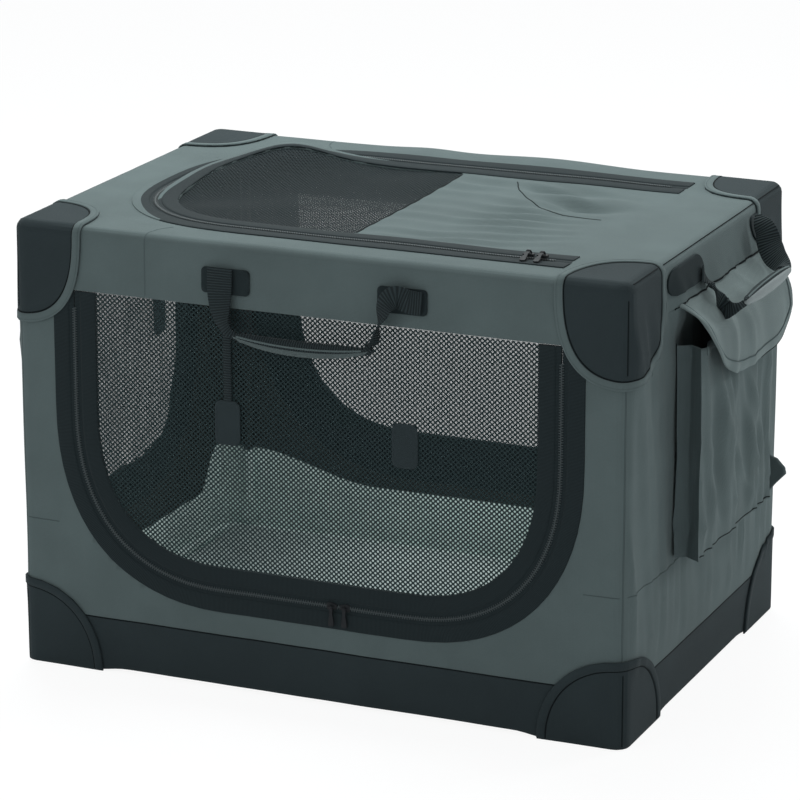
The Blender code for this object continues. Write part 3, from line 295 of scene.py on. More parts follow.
# Seam lines are painted darker than the shell: painted shade of the sewn grooves and box edges; the flap's piping
# takes the darkest one too
softSeam = clothMaterial("softSeam", "softSeam", thread=0.0008, mottle=0.03, sheen=0.0)
seamShadeCloth = clothMaterial("seamThread", "seam", thread=0.0008, mottle=0.03, sheen=0.0)
tapeCloth = ribbedMaterial("zipTapeCloth", "tape", rib=0.0016, relief=0.00012)
webbing = ribbedMaterial("webbing", "webbing", rib=0.003, relief=0.0007)
netFront = netMaterial("netFront", "net", 0, 2, wide=1.05)
netEnd = netMaterial("netEnd", "net", 1, 2, fine=0.27, lean=0.15, wide=1.16)
netBack = netMaterial("netBack", "net", 0, 2, fine=0.27, lean=0.3, wide=1.13)
# The roof net takes a darker colour than the other nets: painted shade against the light from above
netRoof = netMaterial("netRoof", "roofNet", 0, 1, wide=0.9, shine=0.11)
frameSteel = paintedMaterial("frameSteel", "steel", 0.42, 0.3, 700)
zipMetal = paintedMaterial("zipMetal", "zipMetal", 0.6, 0.0, 500, 0.18)
teethPlastic = paintedMaterial("teethPlastic", "teeth", 0.45, 0.0, 900, 0.35)
print("materials are made")


# How the cloth stands off its flat pattern
clothFolds = {
    "frontBelly": 0.003, "frontSlack": 0.0014, "backBelly": 0.004, "backSlack": 0.0018,
    "endBelly": 0.003, "endFolds": 0.0046, "roofSag": 0.003, "roofSlack": 0.0016,
    "roofFolds": 0.0056, "roofFoldWidth": 0.043, "flapPullOut": 0.0115, "flapPullUp": 0.0065,
}
# Hills and hollows in millimetres: height, middle and spread
hills = {
    "doorCorner": [(19, -222, 150, 58, 75), (7, -272, 40, 34, 80)],
    "hollows": [(9, 200, 60, 46, 18), (7.2, 150, 122, 50, 16), (-3.5, 185, 92, 60, 14)],
    "farEdge": [(4.8, 85, 250, 85, 30), (3.2, -75, 252, 45, 26)],
}
# The sewn line across the roof door's cloth half; the folds are shallow beside it
doorArc = [(x / 1000, y / 1000) for x, y in (
    (82, 150), (100, 112), (120, 82), (143, 55), (160, 37), (174, 25), (190, 16), (207, 12), (226, 9), (245, 7))]


def clamped(value):
    return min(max(value, 0.0), 1.0)


def ease(value):
    value = clamped(value)
    return value * value * (3 - 2 * value)


def noiseAt(*spot):
    return noise.noise(Vector(spot))


# Smooth noise from 0 to 1, so that the cloth only ever stands outwards
def ripple(a, b, c, sharp=1.0):
    return clamped(noiseAt(a, b, c) * 0.9 + 0.42) ** sharp


def hill(kind, x, y):
    return sum(rise / 1000 * math.exp(-((x * 1000 - middleX) / wideX) ** 2 - ((y * 1000 - middleY) / wideY) ** 2)
               for rise, middleX, middleY, wideX, wideY in hills[kind])


def belly(kind, across, z):
    return clothFolds[kind] * (1 - across ** 4) * math.sin(math.pi * clamped(z / height)) ** 0.6


def standFront(x, z):
    slack = clothFolds["frontSlack"] * ripple(x * 15, z * 5, 1.7) * ease((0.37 - abs(x)) / 0.1)
    return belly("frontBelly", x / halfX, z) + slack


def standBack(x, z):
    return belly("backBelly", x / halfX, z) + clothFolds["backSlack"] * ripple(x * 13, z * 6, 8.1)


# Upright folds, let out between the corners, the header and the band
def standEnd(y, z, seed):
    lean = y + 0.12 * (z - 0.3) + 0.006 * noiseAt(z * 9, y * 6, seed)
    folds = (1 - abs(noiseAt(lean * 30, z * 2.2, seed)) * 2.2) ** 2
    folds += 0.6 * ripple(lean * 52, z * 3.5, seed + 4, 1.5)
    folds *= ease((0.265 - abs(y)) / 0.018) * ease((0.52 - z) / 0.06) * ease((z - 0.06) / 0.06)
    return belly("endBelly", y / halfY, z) + clothFolds["endFolds"] * folds


# How far the roof door's far left corner stands off its zip
def doorHump(x, y, inset):
    return hill("doorCorner", x, y) * ease(inset / 0.014)


def besideArc(x, y):
    nearest = 1.0
    for (ax, ay), (bx, by) in zip(doorArc, doorArc[1:]):
        dx, dy = bx - ax, by - ay
        t = clamped(((x - ax) * dx + (y - ay) * dy) / (dx * dx + dy * dy))
        nearest = min(nearest, math.hypot(x - ax - t * dx, y - ay - t * dy))
    return math.exp(-(nearest / 0.013) ** 2)


# Soft folds in the roof door's cloth half, closing up towards its right end
def roofFolds(x, y):
    turn = math.pi * (y + 0.012) / (clothFolds["roofFoldWidth"] * (1 - 1.5 * max(x, 0.0)))
    wander = 2.3 * noiseAt(x * 14, y * 7, 4.2)
    swell = 0.75 + 0.9 * noiseAt(x * 9, y * 16, 8.8)
    crest = 0.7 * math.sin(2 * turn + wander) + 0.3 * (1 - 2 * abs(math.sin(turn + wander / 2 + 0.8)))
    fade = ease((x + 0.01) / 0.03) * (0.35 + 0.65 * ease((x + 0.01) / 0.08))
    fade *= ease((0.268 - x) / 0.1) * ease((0.172 - abs(y)) / 0.04)
    folds = clothFolds["roofFolds"] * crest * swell * fade - hill("hollows", x, y)
    return folds * (1 - 0.8 * besideArc(x, y))


def roofStand(x, y):
    across, along = x / halfX, y / halfY
    edge = ease((halfX - abs(x)) / 0.08) * ease((halfY - abs(y)) / 0.08)
    sag = -clothFolds["roofSag"] * edge * (1 - along * along) * (1 - across * across)
    slack = clothFolds["roofSlack"] * (ripple(x * 8, y * 12, 6.6) - 0.4) * edge
    return sag + roofFolds(x, y) + slack + hill("farEdge", x, y)


# The flap pulls the end's header out and up into a slope
def endPull(y, z):
    high = clamped((height - z) / (height - shell["headerEnd"]))
    return ease((0.158 - abs(y)) / 0.03) * ease((z - 0.446) / 0.036) * high


def nearSide(depth):
    return ease((0.015 - depth) / 0.011)


# Where a point of the flat pattern ends up on the stuffed-out shell
def settledPlace(place):
    x, y, z = place
    moved, pull = Vector(place), endPull(y, z)
    moved.y -= nearSide(y + halfY) * standFront(x, z)
    moved.y += nearSide(halfY - y) * standBack(x, z)
    moved.x -= nearSide(x + halfX) * standEnd(y, z, 3.3)
    moved.x += nearSide(halfX - x) * (standEnd(y, z, 5.9) + clothFolds["flapPullOut"] * pull)
    moved.z += nearSide(halfX - x) * clothFolds["flapPullUp"] * pull
    moved.z += nearSide(height - z) * roofStand(x, y)
    return moved


# Which way is out of the shell near a point
def shellNormal(place):
    x, y, z = place
    out = Vector((nearSide(halfX - x) - nearSide(x + halfX), nearSide(halfY - y) - nearSide(y + halfY),
                  nearSide(height - z)))
    return out.normalized() if out.length > 0.1 else Vector((0, 0, 1))


# Making, placing and finishing pieces
def camel(nodeName):
    first, *rest = nodeName.split("_")
    return first + "".join(word.capitalize() for word in rest)


def addPiece(name, bm, materials, body, nodes=(), smooth=38):
    mesh = bpy.data.meshes.new(name)
    bmesh.ops.recalc_face_normals(bm, faces=bm.faces)
    bm.to_mesh(mesh)
    bm.free()
    piece = newObject(name, mesh)
    for each in materials:
        mesh.materials.append(each)
    bpy.ops.object.select_all(action="DESELECT")
    piece.select_set(True)
    bpy.context.view_layer.objects.active = piece
    bpy.ops.object.shade_smooth_by_angle(angle=math.radians(smooth))
    if body:
        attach(piece, body)
    if nodes:
        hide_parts(*nodes)
    return piece


def cadMesh(nodeName):
    bm = bmesh.new()
    bm.from_mesh(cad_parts[nodeName].data)
    bmesh.ops.remove_doubles(bm, verts=bm.verts, dist=0.00001)
    return bm


# Cuts a mesh along a grid, so that it can take folds
def dice(bm, cell, axes=(0, 1, 2)):
    for axis in axes:
        places = [vert.co[axis] for vert in bm.verts]
        low, high = min(places), max(places)
        count = int((high - low) / cell)
        normal = Matrix.Identity(3)[axis]
        for step in range(1, count + 1):
            at = normal * (low + (high - low) * step / (count + 1))
            everything = bm.verts[:] + bm.edges[:] + bm.faces[:]
            bmesh.ops.bisect_plane(bm, geom=everything, dist=0.000001, plane_co=at, plane_no=normal)
    return bm


def settle(bm, extra=None):
    for vert in bm.verts:
        shift = extra(vert.co) if extra else Vector()
        vert.co = settledPlace(vert.co) + shift
    return bm


# The faces that look into the carrier take the second material
def markLining(bm):
    bm.normal_update()
    for face in bm.faces:
        middle, normal = face.calc_center_median(), face.normal
        facing = normal.x * middle.x / halfX + normal.y * middle.y / halfY
        facing += normal.z * (middle.z / height * 2 - 1)
        if facing < -0.85:
            face.material_index = 1


# A sewn panel: the CAD sheet's outline, cut finely and let out into folds
def clothPanel(nodeName, name, cell, body="base", material=shellCloth, extra=None, lined=True):
    bm = dice(cadMesh(nodeName), cell)
    if lined:
        markLining(bm)
    return addPiece(name, settle(bm, extra), [material, liningCloth], body, [nodeName])


# What is needed to lay strips on a finished piece
def surfaceOf(piece):
    bm = bmesh.new()
    bm.from_mesh(piece.data)
    tree = BVHTree.FromBMesh(bm)
    bm.free()
    return tree


# Running lengths along a list of points
def lengthsAlong(points):
    lengths = [0.0]
    for a, b in zip(points, points[1:]):
        lengths.append(lengths[-1] + (b - a).length)
    return lengths


# The same route with its points this far apart
def evenly(points, spacing, closed=False):
    points = [Vector(point) for point in points]
    points += points[:1] * closed
    lengths = lengthsAlong(points)
    count = max(2, round(lengths[-1] / spacing))
    spaced, k = [], 0
    for step in range(count + (not closed)):
        at = lengths[-1] * step / count
        while k < len(lengths) - 2 and lengths[k + 1] < at:
            k += 1
        span = max(lengths[k + 1] - lengths[k], 1e-9)
        spaced.append(points[k].lerp(points[k + 1], (at - lengths[k]) / span))
    return spaced


# What comes before and after each value of a row
def neighbours(values, closed=False):
    first, last = (values[-1:], values[:1]) if closed else (values[:1], values[-1:])
    return first + values[:-1], values[1:] + last


def smoothed(values, closed):
    for _ in range(2):
        before, after = neighbours(values, closed)
        values = [(a + b * 2 + c) / 4 for a, b, c in zip(before, values, after)]
    return values


# Points and outward directions on a surface, nearest to the given ones
def onSurface(tree, points, closed):
    places, normals = zip(*(tree.find_nearest(point)[:2] for point in points))
    places = smoothed(list(places), closed)
    normals = [normal.normalized() for normal in smoothed(list(normals), closed)]
    return [tree.find_nearest(place + normal * 0.004)[0] for place, normal in zip(places, normals)], normals


# Skins rows of points into a strip or tube; its UV map, in metres, follows the run and goes round it
def skin(rows, runs, widths, closed=False, second=None):
    bm = bmesh.new()
    uvLayer = bm.loops.layers.uv.new("run")
    rows = [[bm.verts.new(spot) for spot in row] for row in rows]
    count, sides = len(rows), len(rows[0])
    for i in range(count if closed else count - 1):
        for k in range(sides):
            j, m = (i + 1) % count, (k + 1) % sides
            face = bm.faces.new((rows[i][k], rows[i][m], rows[j][m], rows[j][k]))
            face.material_index = 1 if second and second(i, k) else 0
            spots = ((i, k), (i, k + 1), (i + 1, k + 1), (i + 1, k))
            for loop, (run, width) in zip(face.loops, spots):
                loop[uvLayer].uv = (runs[run], widths[width])
    if not closed:
        bm.faces.new(rows[0][::-1])
        bm.faces.new(rows[-1])
    return bm


# Lengths round a cross-section, corner by corner
def girth(section):
    return lengthsAlong([Vector(corner) for corner in section + section[:1]])


# A strip whose cross-section, (across, up) pairs, follows a route
def sweptStrip(places, normals, section, closed=False):
    rows = []
    for k, (place, normal, before, after) in enumerate(zip(places, normals, *neighbours(places, closed))):
        along = (after - before).normalized()
        across = along.cross(normal).normalized()
        up = across.cross(along)
        shape = section(k / (len(places) - 1)) if callable(section) else section
        rows.append([place + across * a + up * b for a, b in shape])
    middle = section(0.5) if callable(section) else section
    return skin(rows, lengthsAlong(places + places[:1]), girth(middle), closed)


# A flat strip's cross-section with rounded edges, lying on the surface
def strapSection(width, thick, sink):
    half, r = width / 2, thick * 0.35
    return [(-half, -sink), (-half, thick - r), (-half + r, thick), (half - r, thick), (half, thick - r),
            (half, -sink)]


def cordSection(radius):
    return [(radius * math.cos(a * math.pi / 3), radius * math.sin(a * math.pi / 3)) for a in range(6)][::-1]


# Lays a strip of tape, hem or seam on a finished panel
def layStrip(name, tree, points, width, thick, material, body, closed=False, spacing=0.003,
             sink=0.0006):
    route = [settledPlace(point) + shellNormal(point) * 0.006 for point in evenly(points, spacing, closed)]
    places, normals = onSurface(tree, route, closed)
    bm = sweptStrip(places, normals, strapSection(width, thick, sink), closed)
    return addPiece(name, bm, [material], body, (), 50)


def squashTo(kind, *pieces):
    for piece in pieces:
        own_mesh(piece)


# Walls and covers
print("sewing the shell")


# The tray's lower edge is rounded under between the corner patches
def tuckUnder(place):
    inX, inY = halfX - abs(place.x), halfY - abs(place.y)
    if place.z > 0.02 or place.z < -0.001:
        return Vector()
    side = ease((0.02 - inY) / 0.016) * ease((inX - 0.085) / 0.05)
    end = ease((0.02 - inX) / 0.016) * ease((inY - 0.09) / 0.05)
    return Vector((0, 0, 0.0055 * max(side, end) * (1 - place.z / 0.02)))


baseCover = clothPanel("base_cover", "baseBand", 0.01, "base", charcoalCloth, tuckUnder)
topCover = clothPanel("top_cover", "roofAndHeader", 0.009, "top")
frontWall = clothPanel("front_wall", "frontPanel", 0.01)
backWall = clothPanel("back_wall", "backPanel", 0.012)
leftWall = clothPanel("left_wall", "leftPanel", 0.01)
rightWall = clothPanel("right_wall", "rightPanel", 0.008)
baseTree, topTree, frontTree, backTree, rightTree = (
    surfaceOf(piece) for piece in (baseCover, topCover, frontWall, backWall, rightWall))


# Seams on the shell: raised strips painted dark, a painted shade of each sewn groove
def seamLine(name, tree, points, body, closed=False, width=0.0013, rise=0.00045, thread=seamShadeCloth):
    return layStrip(name, tree, points, width, rise, thread, body, closed, 0.0035, 0.0005)


seams = {"header": -0.21, "wall": 0.18, "wallStart": 0.33, "fine": 0.0009}
for side, name in ((-1, "Front"), (1, "Back")):
    x, y, r = seams["header"], side * halfY, shell["rimRadius"]
    route = [(x + 0.014, side * 0.219, height), (x + 0.003, side * 0.236, height)]
    for step in range(13):
        angle = step / 8
        route.append((x - 0.001, y - side * r * (1 - math.sin(angle)), height - r * (1 - math.cos(angle))))
    route.append((x - 0.001, y, shell["headerSide"] + 0.001))
    seamLine("headerSeam" + name, topTree, route, "top", rise=0.0003, thread=gussetCloth)
for name, side in (("Right", 1), ("Left", -1)):
    edge = [(side * (halfX - 0.002), end * (halfY - 0.085), height - 0.002) for end in (-1, 1)]
    seamLine("roofEdgeSeam" + name, topTree, edge, "top")
rim = []
for x, y in ((-1, -1), (1, -1), (1, 1), (-1, 1)):
    z = shell["bandTop"] - 0.0006
    rim += [(x * (halfX - 0.004), y * halfY, z), (x * halfX, y * (halfY - 0.004), z)][::1 if x == y else -1]
seamLine("bandSeam", baseTree, rim, "base", closed=True, width=0.0016)
for tree, name, sx, sy in ((frontTree, "FrontLeft", -1, -1), (frontTree, "FrontRight", 1, -1),
                           (backTree, "BackLeft", -1, 1), (backTree, "BackRight", 1, 1)):
    x, y = sx * (halfX - 0.0045), sy * (halfY - 0.0005)
    upright = [(x, y, z) for z in (0.075, 0.25, shell["headerSide"] - 0.002)]
    level = [(sx * x, sy * halfY, seams["wall"]) for x in (seams["wallStart"], halfX - 0.006)]
    squashTo("side", seamLine("cornerSeam" + name, tree, upright, "base", width=seams["fine"], rise=0.0002,
                              thread=softSeam),
             seamLine("wallSeam" + name, tree, level, "base", width=seams["fine"], thread=softSeam))
level = [(halfX, side * (halfY - 0.006), seams["wall"]) for side in (-1, 1)]
squashTo("end", seamLine("wallSeamEnd", rightTree, level, "base", width=seams["fine"], thread=softSeam))
squashTo("side", frontWall, backWall)
squashTo("end", leftWall, rightWall)


# Corner patches with their sewn hems
print("corner patches")
patches = {
    "top": {"reach": (0.088, 0.105, 0.12), "power": 2.7, "cell": 0.007, "seam": 0.0017, "fold": "patch"},
    "base": {"reach": (0.104, 0.114, 0.105), "power": 2.15, "cell": 0.008, "seam": 0.0013,
             "fold": "basePatch"},
    "hem": 0.01, "hemThick": 0.0013, "farHem": 0.0006, "stitch": 0.0026, "steps": 14,
}


# Points round a patch's rim, on three faces at the top and two at the base
def patchEdge(sx, sy, level, inset):
    power, steps = patches[level]["power"], patches["steps"]
    reach = [each - inset for each in patches[level]["reach"]]
    arcs = []
    for first, second in ((0, 2), (2, 1), (1, 0)):
        for k in range(steps):
            angle = math.pi / 2 * k / steps
            spread = [0.0, 0.0, 0.0]
            spread[first] = reach[first] * math.cos(angle) ** (2 / power)
            spread[second] = reach[second] * math.sin(angle) ** (2 / power)
            arcs.append(spread)
    if level == "base":
        arcs = arcs[:2 * steps] + [[0.0, reach[1], 0.0]]
    return [(sx * (halfX - u), sy * (halfY - v), height - w if level == "top" else max(w, 0.0008))
            for u, v, w in arcs]


for corner in ("front_left", "front_right", "back_left", "back_right"):
    sx, sy = 1 if "right" in corner else -1, 1 if "back" in corner else -1
    label = camel("_" + corner)
    for level, cloth, slotName in (("top", shellCloth, "shell"), ("base", charcoalCloth, "charcoal")):
        shape, top = patches[level], level == "top"
        patch = clothPanel(f"{level}_patch_{corner}", level + "Patch" + label, shape["cell"], level,
                           charcoalCloth, lined=False)
        tree = surfaceOf(patch)
        thick = patches["farHem"] if top and sy > 0 else patches["hemThick"]
        rimRoute = patchEdge(sx, sy, level, patches["hem"] / 2)
        hem = layStrip(level + "Hem" + label, tree, rimRoute, patches["hem"], thick, cloth, level, top)
        line = seamLine(level + "HemSeam" + label, tree, patchEdge(sx, sy, level, patches["hem"] + 0.0008), level,
                        closed=top, width=shape["seam"])
        if top:
            route = patchEdge(sx, sy, level, patches["stitch"])
            squashTo("patch", seamLine("topHemStitch" + label, tree, route, level, closed=True, width=0.0008,
                                       rise=thick + 0.0002, thread=softSeam))
        steps = [height - k * 0.008 for k in range(2, 14)] if top else [0.002 + k * 0.008 for k in range(12)]
        edge = [(sx * (halfX - 0.003), sy * (halfY - 0.002), z) for z in steps]
        squashTo(shape["fold"], patch, hem, line, seamLine(level + "PatchSeam" + label, tree, edge, level))
        if top:
            over = [(sx * (halfX - 0.001), sy * (halfY - 0.012 - k * 0.008), height - 0.001) for k in range(11)]
            squashTo("patch", seamLine("topPatchEdge" + label, tree, over, level))


# Zips: tape, binding and teeth along each opening
print("zips and doors")
openings = {
    "squareness": 2.4, "steps": 16,
    "front": {"half": 0.303, "bottom": 0.124, "top": 0.466, "corner": (0.19, 0.205), "bare": 0.018},
    "left": {"half": 0.186, "bottom": 0.135, "top": 0.483, "corner": (0.14, 0.19), "bare": 0.04},
    "back": {"half": 0.268, "bottom": 0.165, "top": 0.466, "corner": (0.165, 0.175)},
    "roof": {"half": 0.192, "bottom": -0.294, "top": 0.285, "corner": (0.172, 0.186), "bare": 0.016},
}
zipTeeth = {"pitch": 0.003, "along": 0.0017, "tall": 0.0014, "from": -0.0007, "to": 0.003, "end": 0.004}
# Cross-sections, in tenths of a millimetre: distance from the zip line, height
bandHeights = {
    "tape": [(7, -30), (7, 2), (70, 2), (78, 11), (100, 15), (180, 12), (258, 16), (274, 12), (280, 0), (280, -6),
             (262, -8), (262, -30)],
    "binding": [(-7, -30), (-7, 2), (-70, 2), (-78, 11), (-100, 15), (-180, 11), (-256, 15), (-272, 9),
                (-275, -3), (-275, -28)],
    "border": [(0, -30), (-15, -10), (-10, 9), (15, 14), (300, 8), (590, 12), (625, 10), (636, 0), (636, -6),
               (622, -8), (622, -30)],
}
bandHeights = {name: [(a / 10000, b / 10000) for a, b in line] for name, line in bandHeights.items()}
# Where the roof's tape is lapped by its cloth: start, fade, share, and the corners that show cloth
lap = {
    "start": -0.205, "fade": 0.07, "share": 0.55, "from": 0.01, "to": 0.026, "cloth": (6, 8), "ends": -0.21,
}


def fromSide(side, u, v, out):
    return Vector({"front": (u, -halfY - out, v), "back": (-u, halfY + out, v), "left": (-halfX - out, -u, v),
                   "roof": (v, u, height + out)}[side])


# The zip line of a side, from its top left round the bottom to its top right, with outward directions
def zipRoute(side, top, spacing=0.006):
    shape = openings[side]
    along, up = shape["corner"]
    right = [(shape["half"], top)]
    for step in range(openings["steps"] + 1):
        angle = math.pi / 2 * step / openings["steps"]
        u = shape["half"] - along + along * math.cos(angle) ** (2 / openings["squareness"])
        v = shape["bottom"] + up - up * math.sin(angle) ** (2 / openings["squareness"])
        right.append((u, v))
    places = evenly([(-u, v, 0) for u, v in right] + [(u, v, 0) for u, v in right[::-1]], spacing)
    runs = [(after - before).normalized() for before, after in zip(*neighbours(places))]
    return places, [Vector((run.y, -run.x, 0)) for run in runs]


# A sewn band along an opening
def bandPiece(name, side, section, body, nodes, top, lapped=False):
    places, outs = zipRoute(side, top)
    rows = []
    for place, out in zip(places, outs):
        row = []
        narrow = lap["share"] * ease((lap["start"] - place.y) / lap["fade"]) if lapped else 0.0
        for distance, rise in section:
            if lap["from"] < distance < lap["to"] and rise > 0:
                distance -= narrow * (distance - lap["from"])
            spot = place + out * distance
            row.append(settledPlace(fromSide(side, spot.x, spot.y, rise)))
            if body == "roof_door":
                row[-1].z += doorHump(spot.y, spot.x, -distance)
        rows.append(row)

    def cloth(i, k):
        return lapped and lap["cloth"][0] <= k <= lap["cloth"][1] and places[i].y < lap["ends"]

    bm = skin(rows, lengthsAlong(places), girth(section), second=cloth)
    return addPiece(name, bm, [tapeCloth] + [shellCloth] * lapped, body, nodes, smooth=40)


# One row of teeth: small tapered blocks that reach over the zip line between those opposite
def teethPiece(name, side, sign, body):
    places, outs = zipRoute(side, openings[side]["top"] - zipTeeth["end"], zipTeeth["pitch"])
    skip = math.ceil(openings[side]["bare"] / zipTeeth["pitch"])
    bm = bmesh.new()
    for k in range(skip, len(places) - skip):
        out, along = outs[k] * sign, Vector((-outs[k].y, outs[k].x, 0))
        middle = places[k] + along * (zipTeeth["pitch"] * 0.25 * sign)
        low, high = [], []
        for ring, reach, narrow, rise in ((low, 1.0, 1.0, 0.0001), (high, 0.86, 0.7, zipTeeth["tall"])):
            for end, half in (("from", -1.0), ("to", -0.8), ("to", 0.8), ("from", 1.0)):
                spot = middle + out * zipTeeth[end] * reach + along * (zipTeeth["along"] / 2 * half * narrow)
                ring.append(bm.verts.new(settledPlace(fromSide(side, spot.x, spot.y, rise))))
        for m in range(4):
            n = (m + 1) % 4
            bm.faces.new((low[m], low[n], high[n], high[m]))
        bm.faces.new(low[::-1])
        bm.faces.new(high)
    return addPiece(name, bm, [teethPlastic], body, smooth=30)


for side, kind in (("front", "side"), ("left", "end")):
    top, door = openings[side]["top"], side + "_door"
    squashTo(kind, bandPiece(side + "Tape", side, bandHeights["tape"], "base", [side + "_zip_tape"],
                             top - shell["gap"]),
             bandPiece(side + "Binding", side, bandHeights["binding"], door, [door + "_binding"], top - 0.0011),
             teethPiece(side + "TeethOuter", side, 1, "base"), teethPiece(side + "TeethInner", side, -1, door))
squashTo("side", bandPiece("backBorder", "back", bandHeights["border"], "base", ["back_window_border"],
                           openings["back"]["top"] - shell["gap"]))
roofTop = openings["roof"]["top"]
bandPiece("roofTape", "roof", bandHeights["tape"], "top", ["roof_zip_tape"], roofTop - shell["gap"], lapped=True)
roofSection = [(a, b if b > -0.002 else -0.0008) for a, b in bandHeights["binding"]]
bandPiece("roofBinding", "roof", roofSection, "roof_door", (), roofTop - 0.0015)
teethPiece("roofTeethOuter", "roof", 1, "top")
teethPiece("roofTeethInner", "roof", -1, "roof_door")


def closeGap(place):
    return Vector((0.0012 * ease((place.x - 0.28) / 0.003), 0, doorHump(place.x, place.y, 0.02)))


roofDoor = clothPanel("roof_door_panel", "roofDoor", 0.0065, "roof_door", extra=closeGap)
roofTree = surfaceOf(roofDoor)
meshEdge = [(0.0065, y * 0.01, height) for y in range(-16, 17)]
seamLine("roofDoorArc", roofTree, [(x, y, height) for x, y in doorArc], "roof_door")
seamLine("roofDoorMeshSeam", roofTree, meshEdge, "roof_door", width=0.0022)


# Nets
print("nets")
nets = {"thick": 0.00035, "depth": 0.0015, "tuck": 0.0255, "cell": 0.013, "spacing": 0.012, "roofEdge": 0.0075}
netAxes = {"front": (0, 2), "back": (0, 2), "left": (1, 2), "roof": (0, 1)}


# A net: a thin sheet cut to the opening's outline, tucked under its binding
def netPanel(name, side, material, body, nodeName, tuck, lower, wave, seed):
    places, outs = zipRoute(side, openings[side]["top"] - lower, nets["spacing"])
    outline = [place - out * tuck for place, out in zip(places, outs)]
    if side == "roof":
        inside = [point for point in outline if point.y < nets["roofEdge"]]
        ends = [Vector((point.x, nets["roofEdge"], 0)) for point in (inside[0], inside[-1])]
        outline = ends[:1] + inside + ends[1:]
    bm = bmesh.new()
    bm.faces.new([bm.verts.new(fromSide(side, p.x, p.y, -nets["depth"])) for p in outline])
    sum(face.calc_area() for face in bm.faces)
    dice(bm, nets["cell"], netAxes[side])
    bmesh.ops.triangulate(bm, faces=[face for face in bm.faces if len(face.verts) > 4])
    centre = fromSide(side, 0, openings[side]["bottom"] + 0.2, 0)
    direction = fromSide(side, 0, 0, 1) - fromSide(side, 0, 0, 0)
    for vert in bm.verts:
        inset = 1 - min(((vert.co - centre).length / 0.3) ** 2, 1)
        swell = wave * (noise.noise(Vector(vert.co) * 9 + Vector((seed, 0, 0))) - 0.2) * 2 * inset
        if body == "roof_door":
            swell += doorHump(vert.co.x, vert.co.y, 0.02)
        vert.co = settledPlace(vert.co) + direction * swell
    bmesh.ops.recalc_face_normals(bm, faces=bm.faces)
    bmesh.ops.solidify(bm, geom=bm.faces[:], thickness=nets["thick"])
    return addPiece(name, bm, [material], body, [nodeName], 60)


tuck = nets["tuck"]
frontNet = netPanel("frontNet", "front", netFront, "front_door", "front_door_net", tuck, 0.0011, 0.0012, 1.0)
leftNet = netPanel("leftNet", "left", netEnd, "left_door", "left_door_net", tuck, 0.0011, 0.003, 4.0)
backNet = netPanel("backNet", "back", netBack, "base", "back_window_net", -0.0005, shell["gap"], 0.002, 7.0)
roofNet = netPanel("roofNet", "roof", netRoof, "roof_door", "roof_door_net", tuck, 0, 0.003, 9.0)
squashTo("side", frontNet, backNet)
squashTo("end", leftNet)


# The pocket on the end wall
print("pocket and flap")
pocketShape = {
    "flatter": 0.2, "spread": 0.034, "nearer": 0.0085, "face": 0.0428, "gusset": 0.0425,
    "lip": 0.4375, "foot": 0.1925, "folds": 0.0066, "hem": 0.01,
}


# The stuffed pocket sits a little flatter and nearer the front than its pattern
def pocketPlace(place):
    out = ease((place.x - halfX) / 0.004)
    x = halfX + (place.x - halfX) * (1 - pocketShape["flatter"] * out)
    return Vector((x, place.y + out * (pocketShape["spread"] * place.y - pocketShape["nearer"]), place.z))


# Upright folds in the pocket's face, deeper towards its open top
def pocketFolds(place):
    out = ease((place.x - halfX - 0.022) / 0.018)
    y, z = place.y + 0.16 * (place.z - 0.3), place.z
    ridge = 1 - 2.2 * abs(noiseAt(y * 15, z * 2.6, 2.0))
    cross = 1 - 2.4 * abs(noiseAt(y * 19 + z * 6, z * 4.5, 7.0))
    run = 0.8 * ridge * abs(ridge) + 0.7 * cross * abs(cross)
    run += 0.2 * math.sin(y * 130 + 3 * noiseAt(y * 9, z * 5, 5.0))
    deep = pocketShape["folds"] * ease((z - 0.185) / 0.05) * (1 - 0.45 * ease((z - 0.36) / 0.05))
    lift = Vector((out * deep * run * ease((0.13 - abs(place.y)) / 0.02), 0, 0))
    return lift + pocketPlace(place) - place


bm = dice(cadMesh("cargo_pocket"), 0.0055)
bm.normal_update()
for face in bm.faces:
    if abs(face.normal.y) > 0.5 and face.calc_center_median().x < halfX + pocketShape["gusset"]:
        face.material_index = 1
pocket = addPiece("pocket", settle(bm, pocketFolds), [shellCloth, gussetCloth], "base", ["cargo_pocket"])
pocketTree = surfaceOf(pocket)
lip, foot = ([pocketPlace(Vector((halfX + pocketShape["face"], y * 0.006, pocketShape[end])))
              for y in range(-20, 21)] for end in ("lip", "foot"))
squashTo("pocket", pocket,
         layStrip("pocketHem", pocketTree, lip, pocketShape["hem"], 0.001, shellCloth, "base"),
         seamLine("pocketFoot", pocketTree, foot, "base"))


# The flap hangs from the end header's seam, out over the pocket's mouth and down its face
flapShape = {
    "half": 0.14, "root": (0.3935, 0.4885), "thick": 0.0022, "hem": 0.009, "columns": 56, "rows": 34,
    "fall": 0.115, "piping": 0.0012,
    "profile": [(0, 0), (7, -3), (16, -8.5), (27, -18), (37, -33), (42.5, -52), (44, -74), (43, -97.5)],  # mm
    "near": (2.6, 0.5), "far": (4.5, 0.3),  # how square each lower corner is, and how much is cut off
    # Pinches: height, place, lean, spread and start
    "pinches": [(0.004, -0.06, -0.02, 0.008, 0.3), (0.0034, -0.034, 0.03, 0.009, 0.36),
                (-0.0026, -0.044, 0.0, 0.008, 0.36)],
}


def alongCurve(points, share):
    at = clamped(share) * (len(points) - 1)
    k = min(int(at), len(points) - 2)
    t = at - k
    p0, p1, p2, p3 = (Vector(points[min(max(m, 0), len(points) - 1)]) for m in range(k - 1, k + 3))
    bend = (p0 * 2 - p1 * 5 + p2 * 4 - p3) * t * t + (p1 * 3 - p0 - p2 * 3 + p3) * t ** 3
    return (p1 * 2 + (p2 - p0) * t + bend) / 2


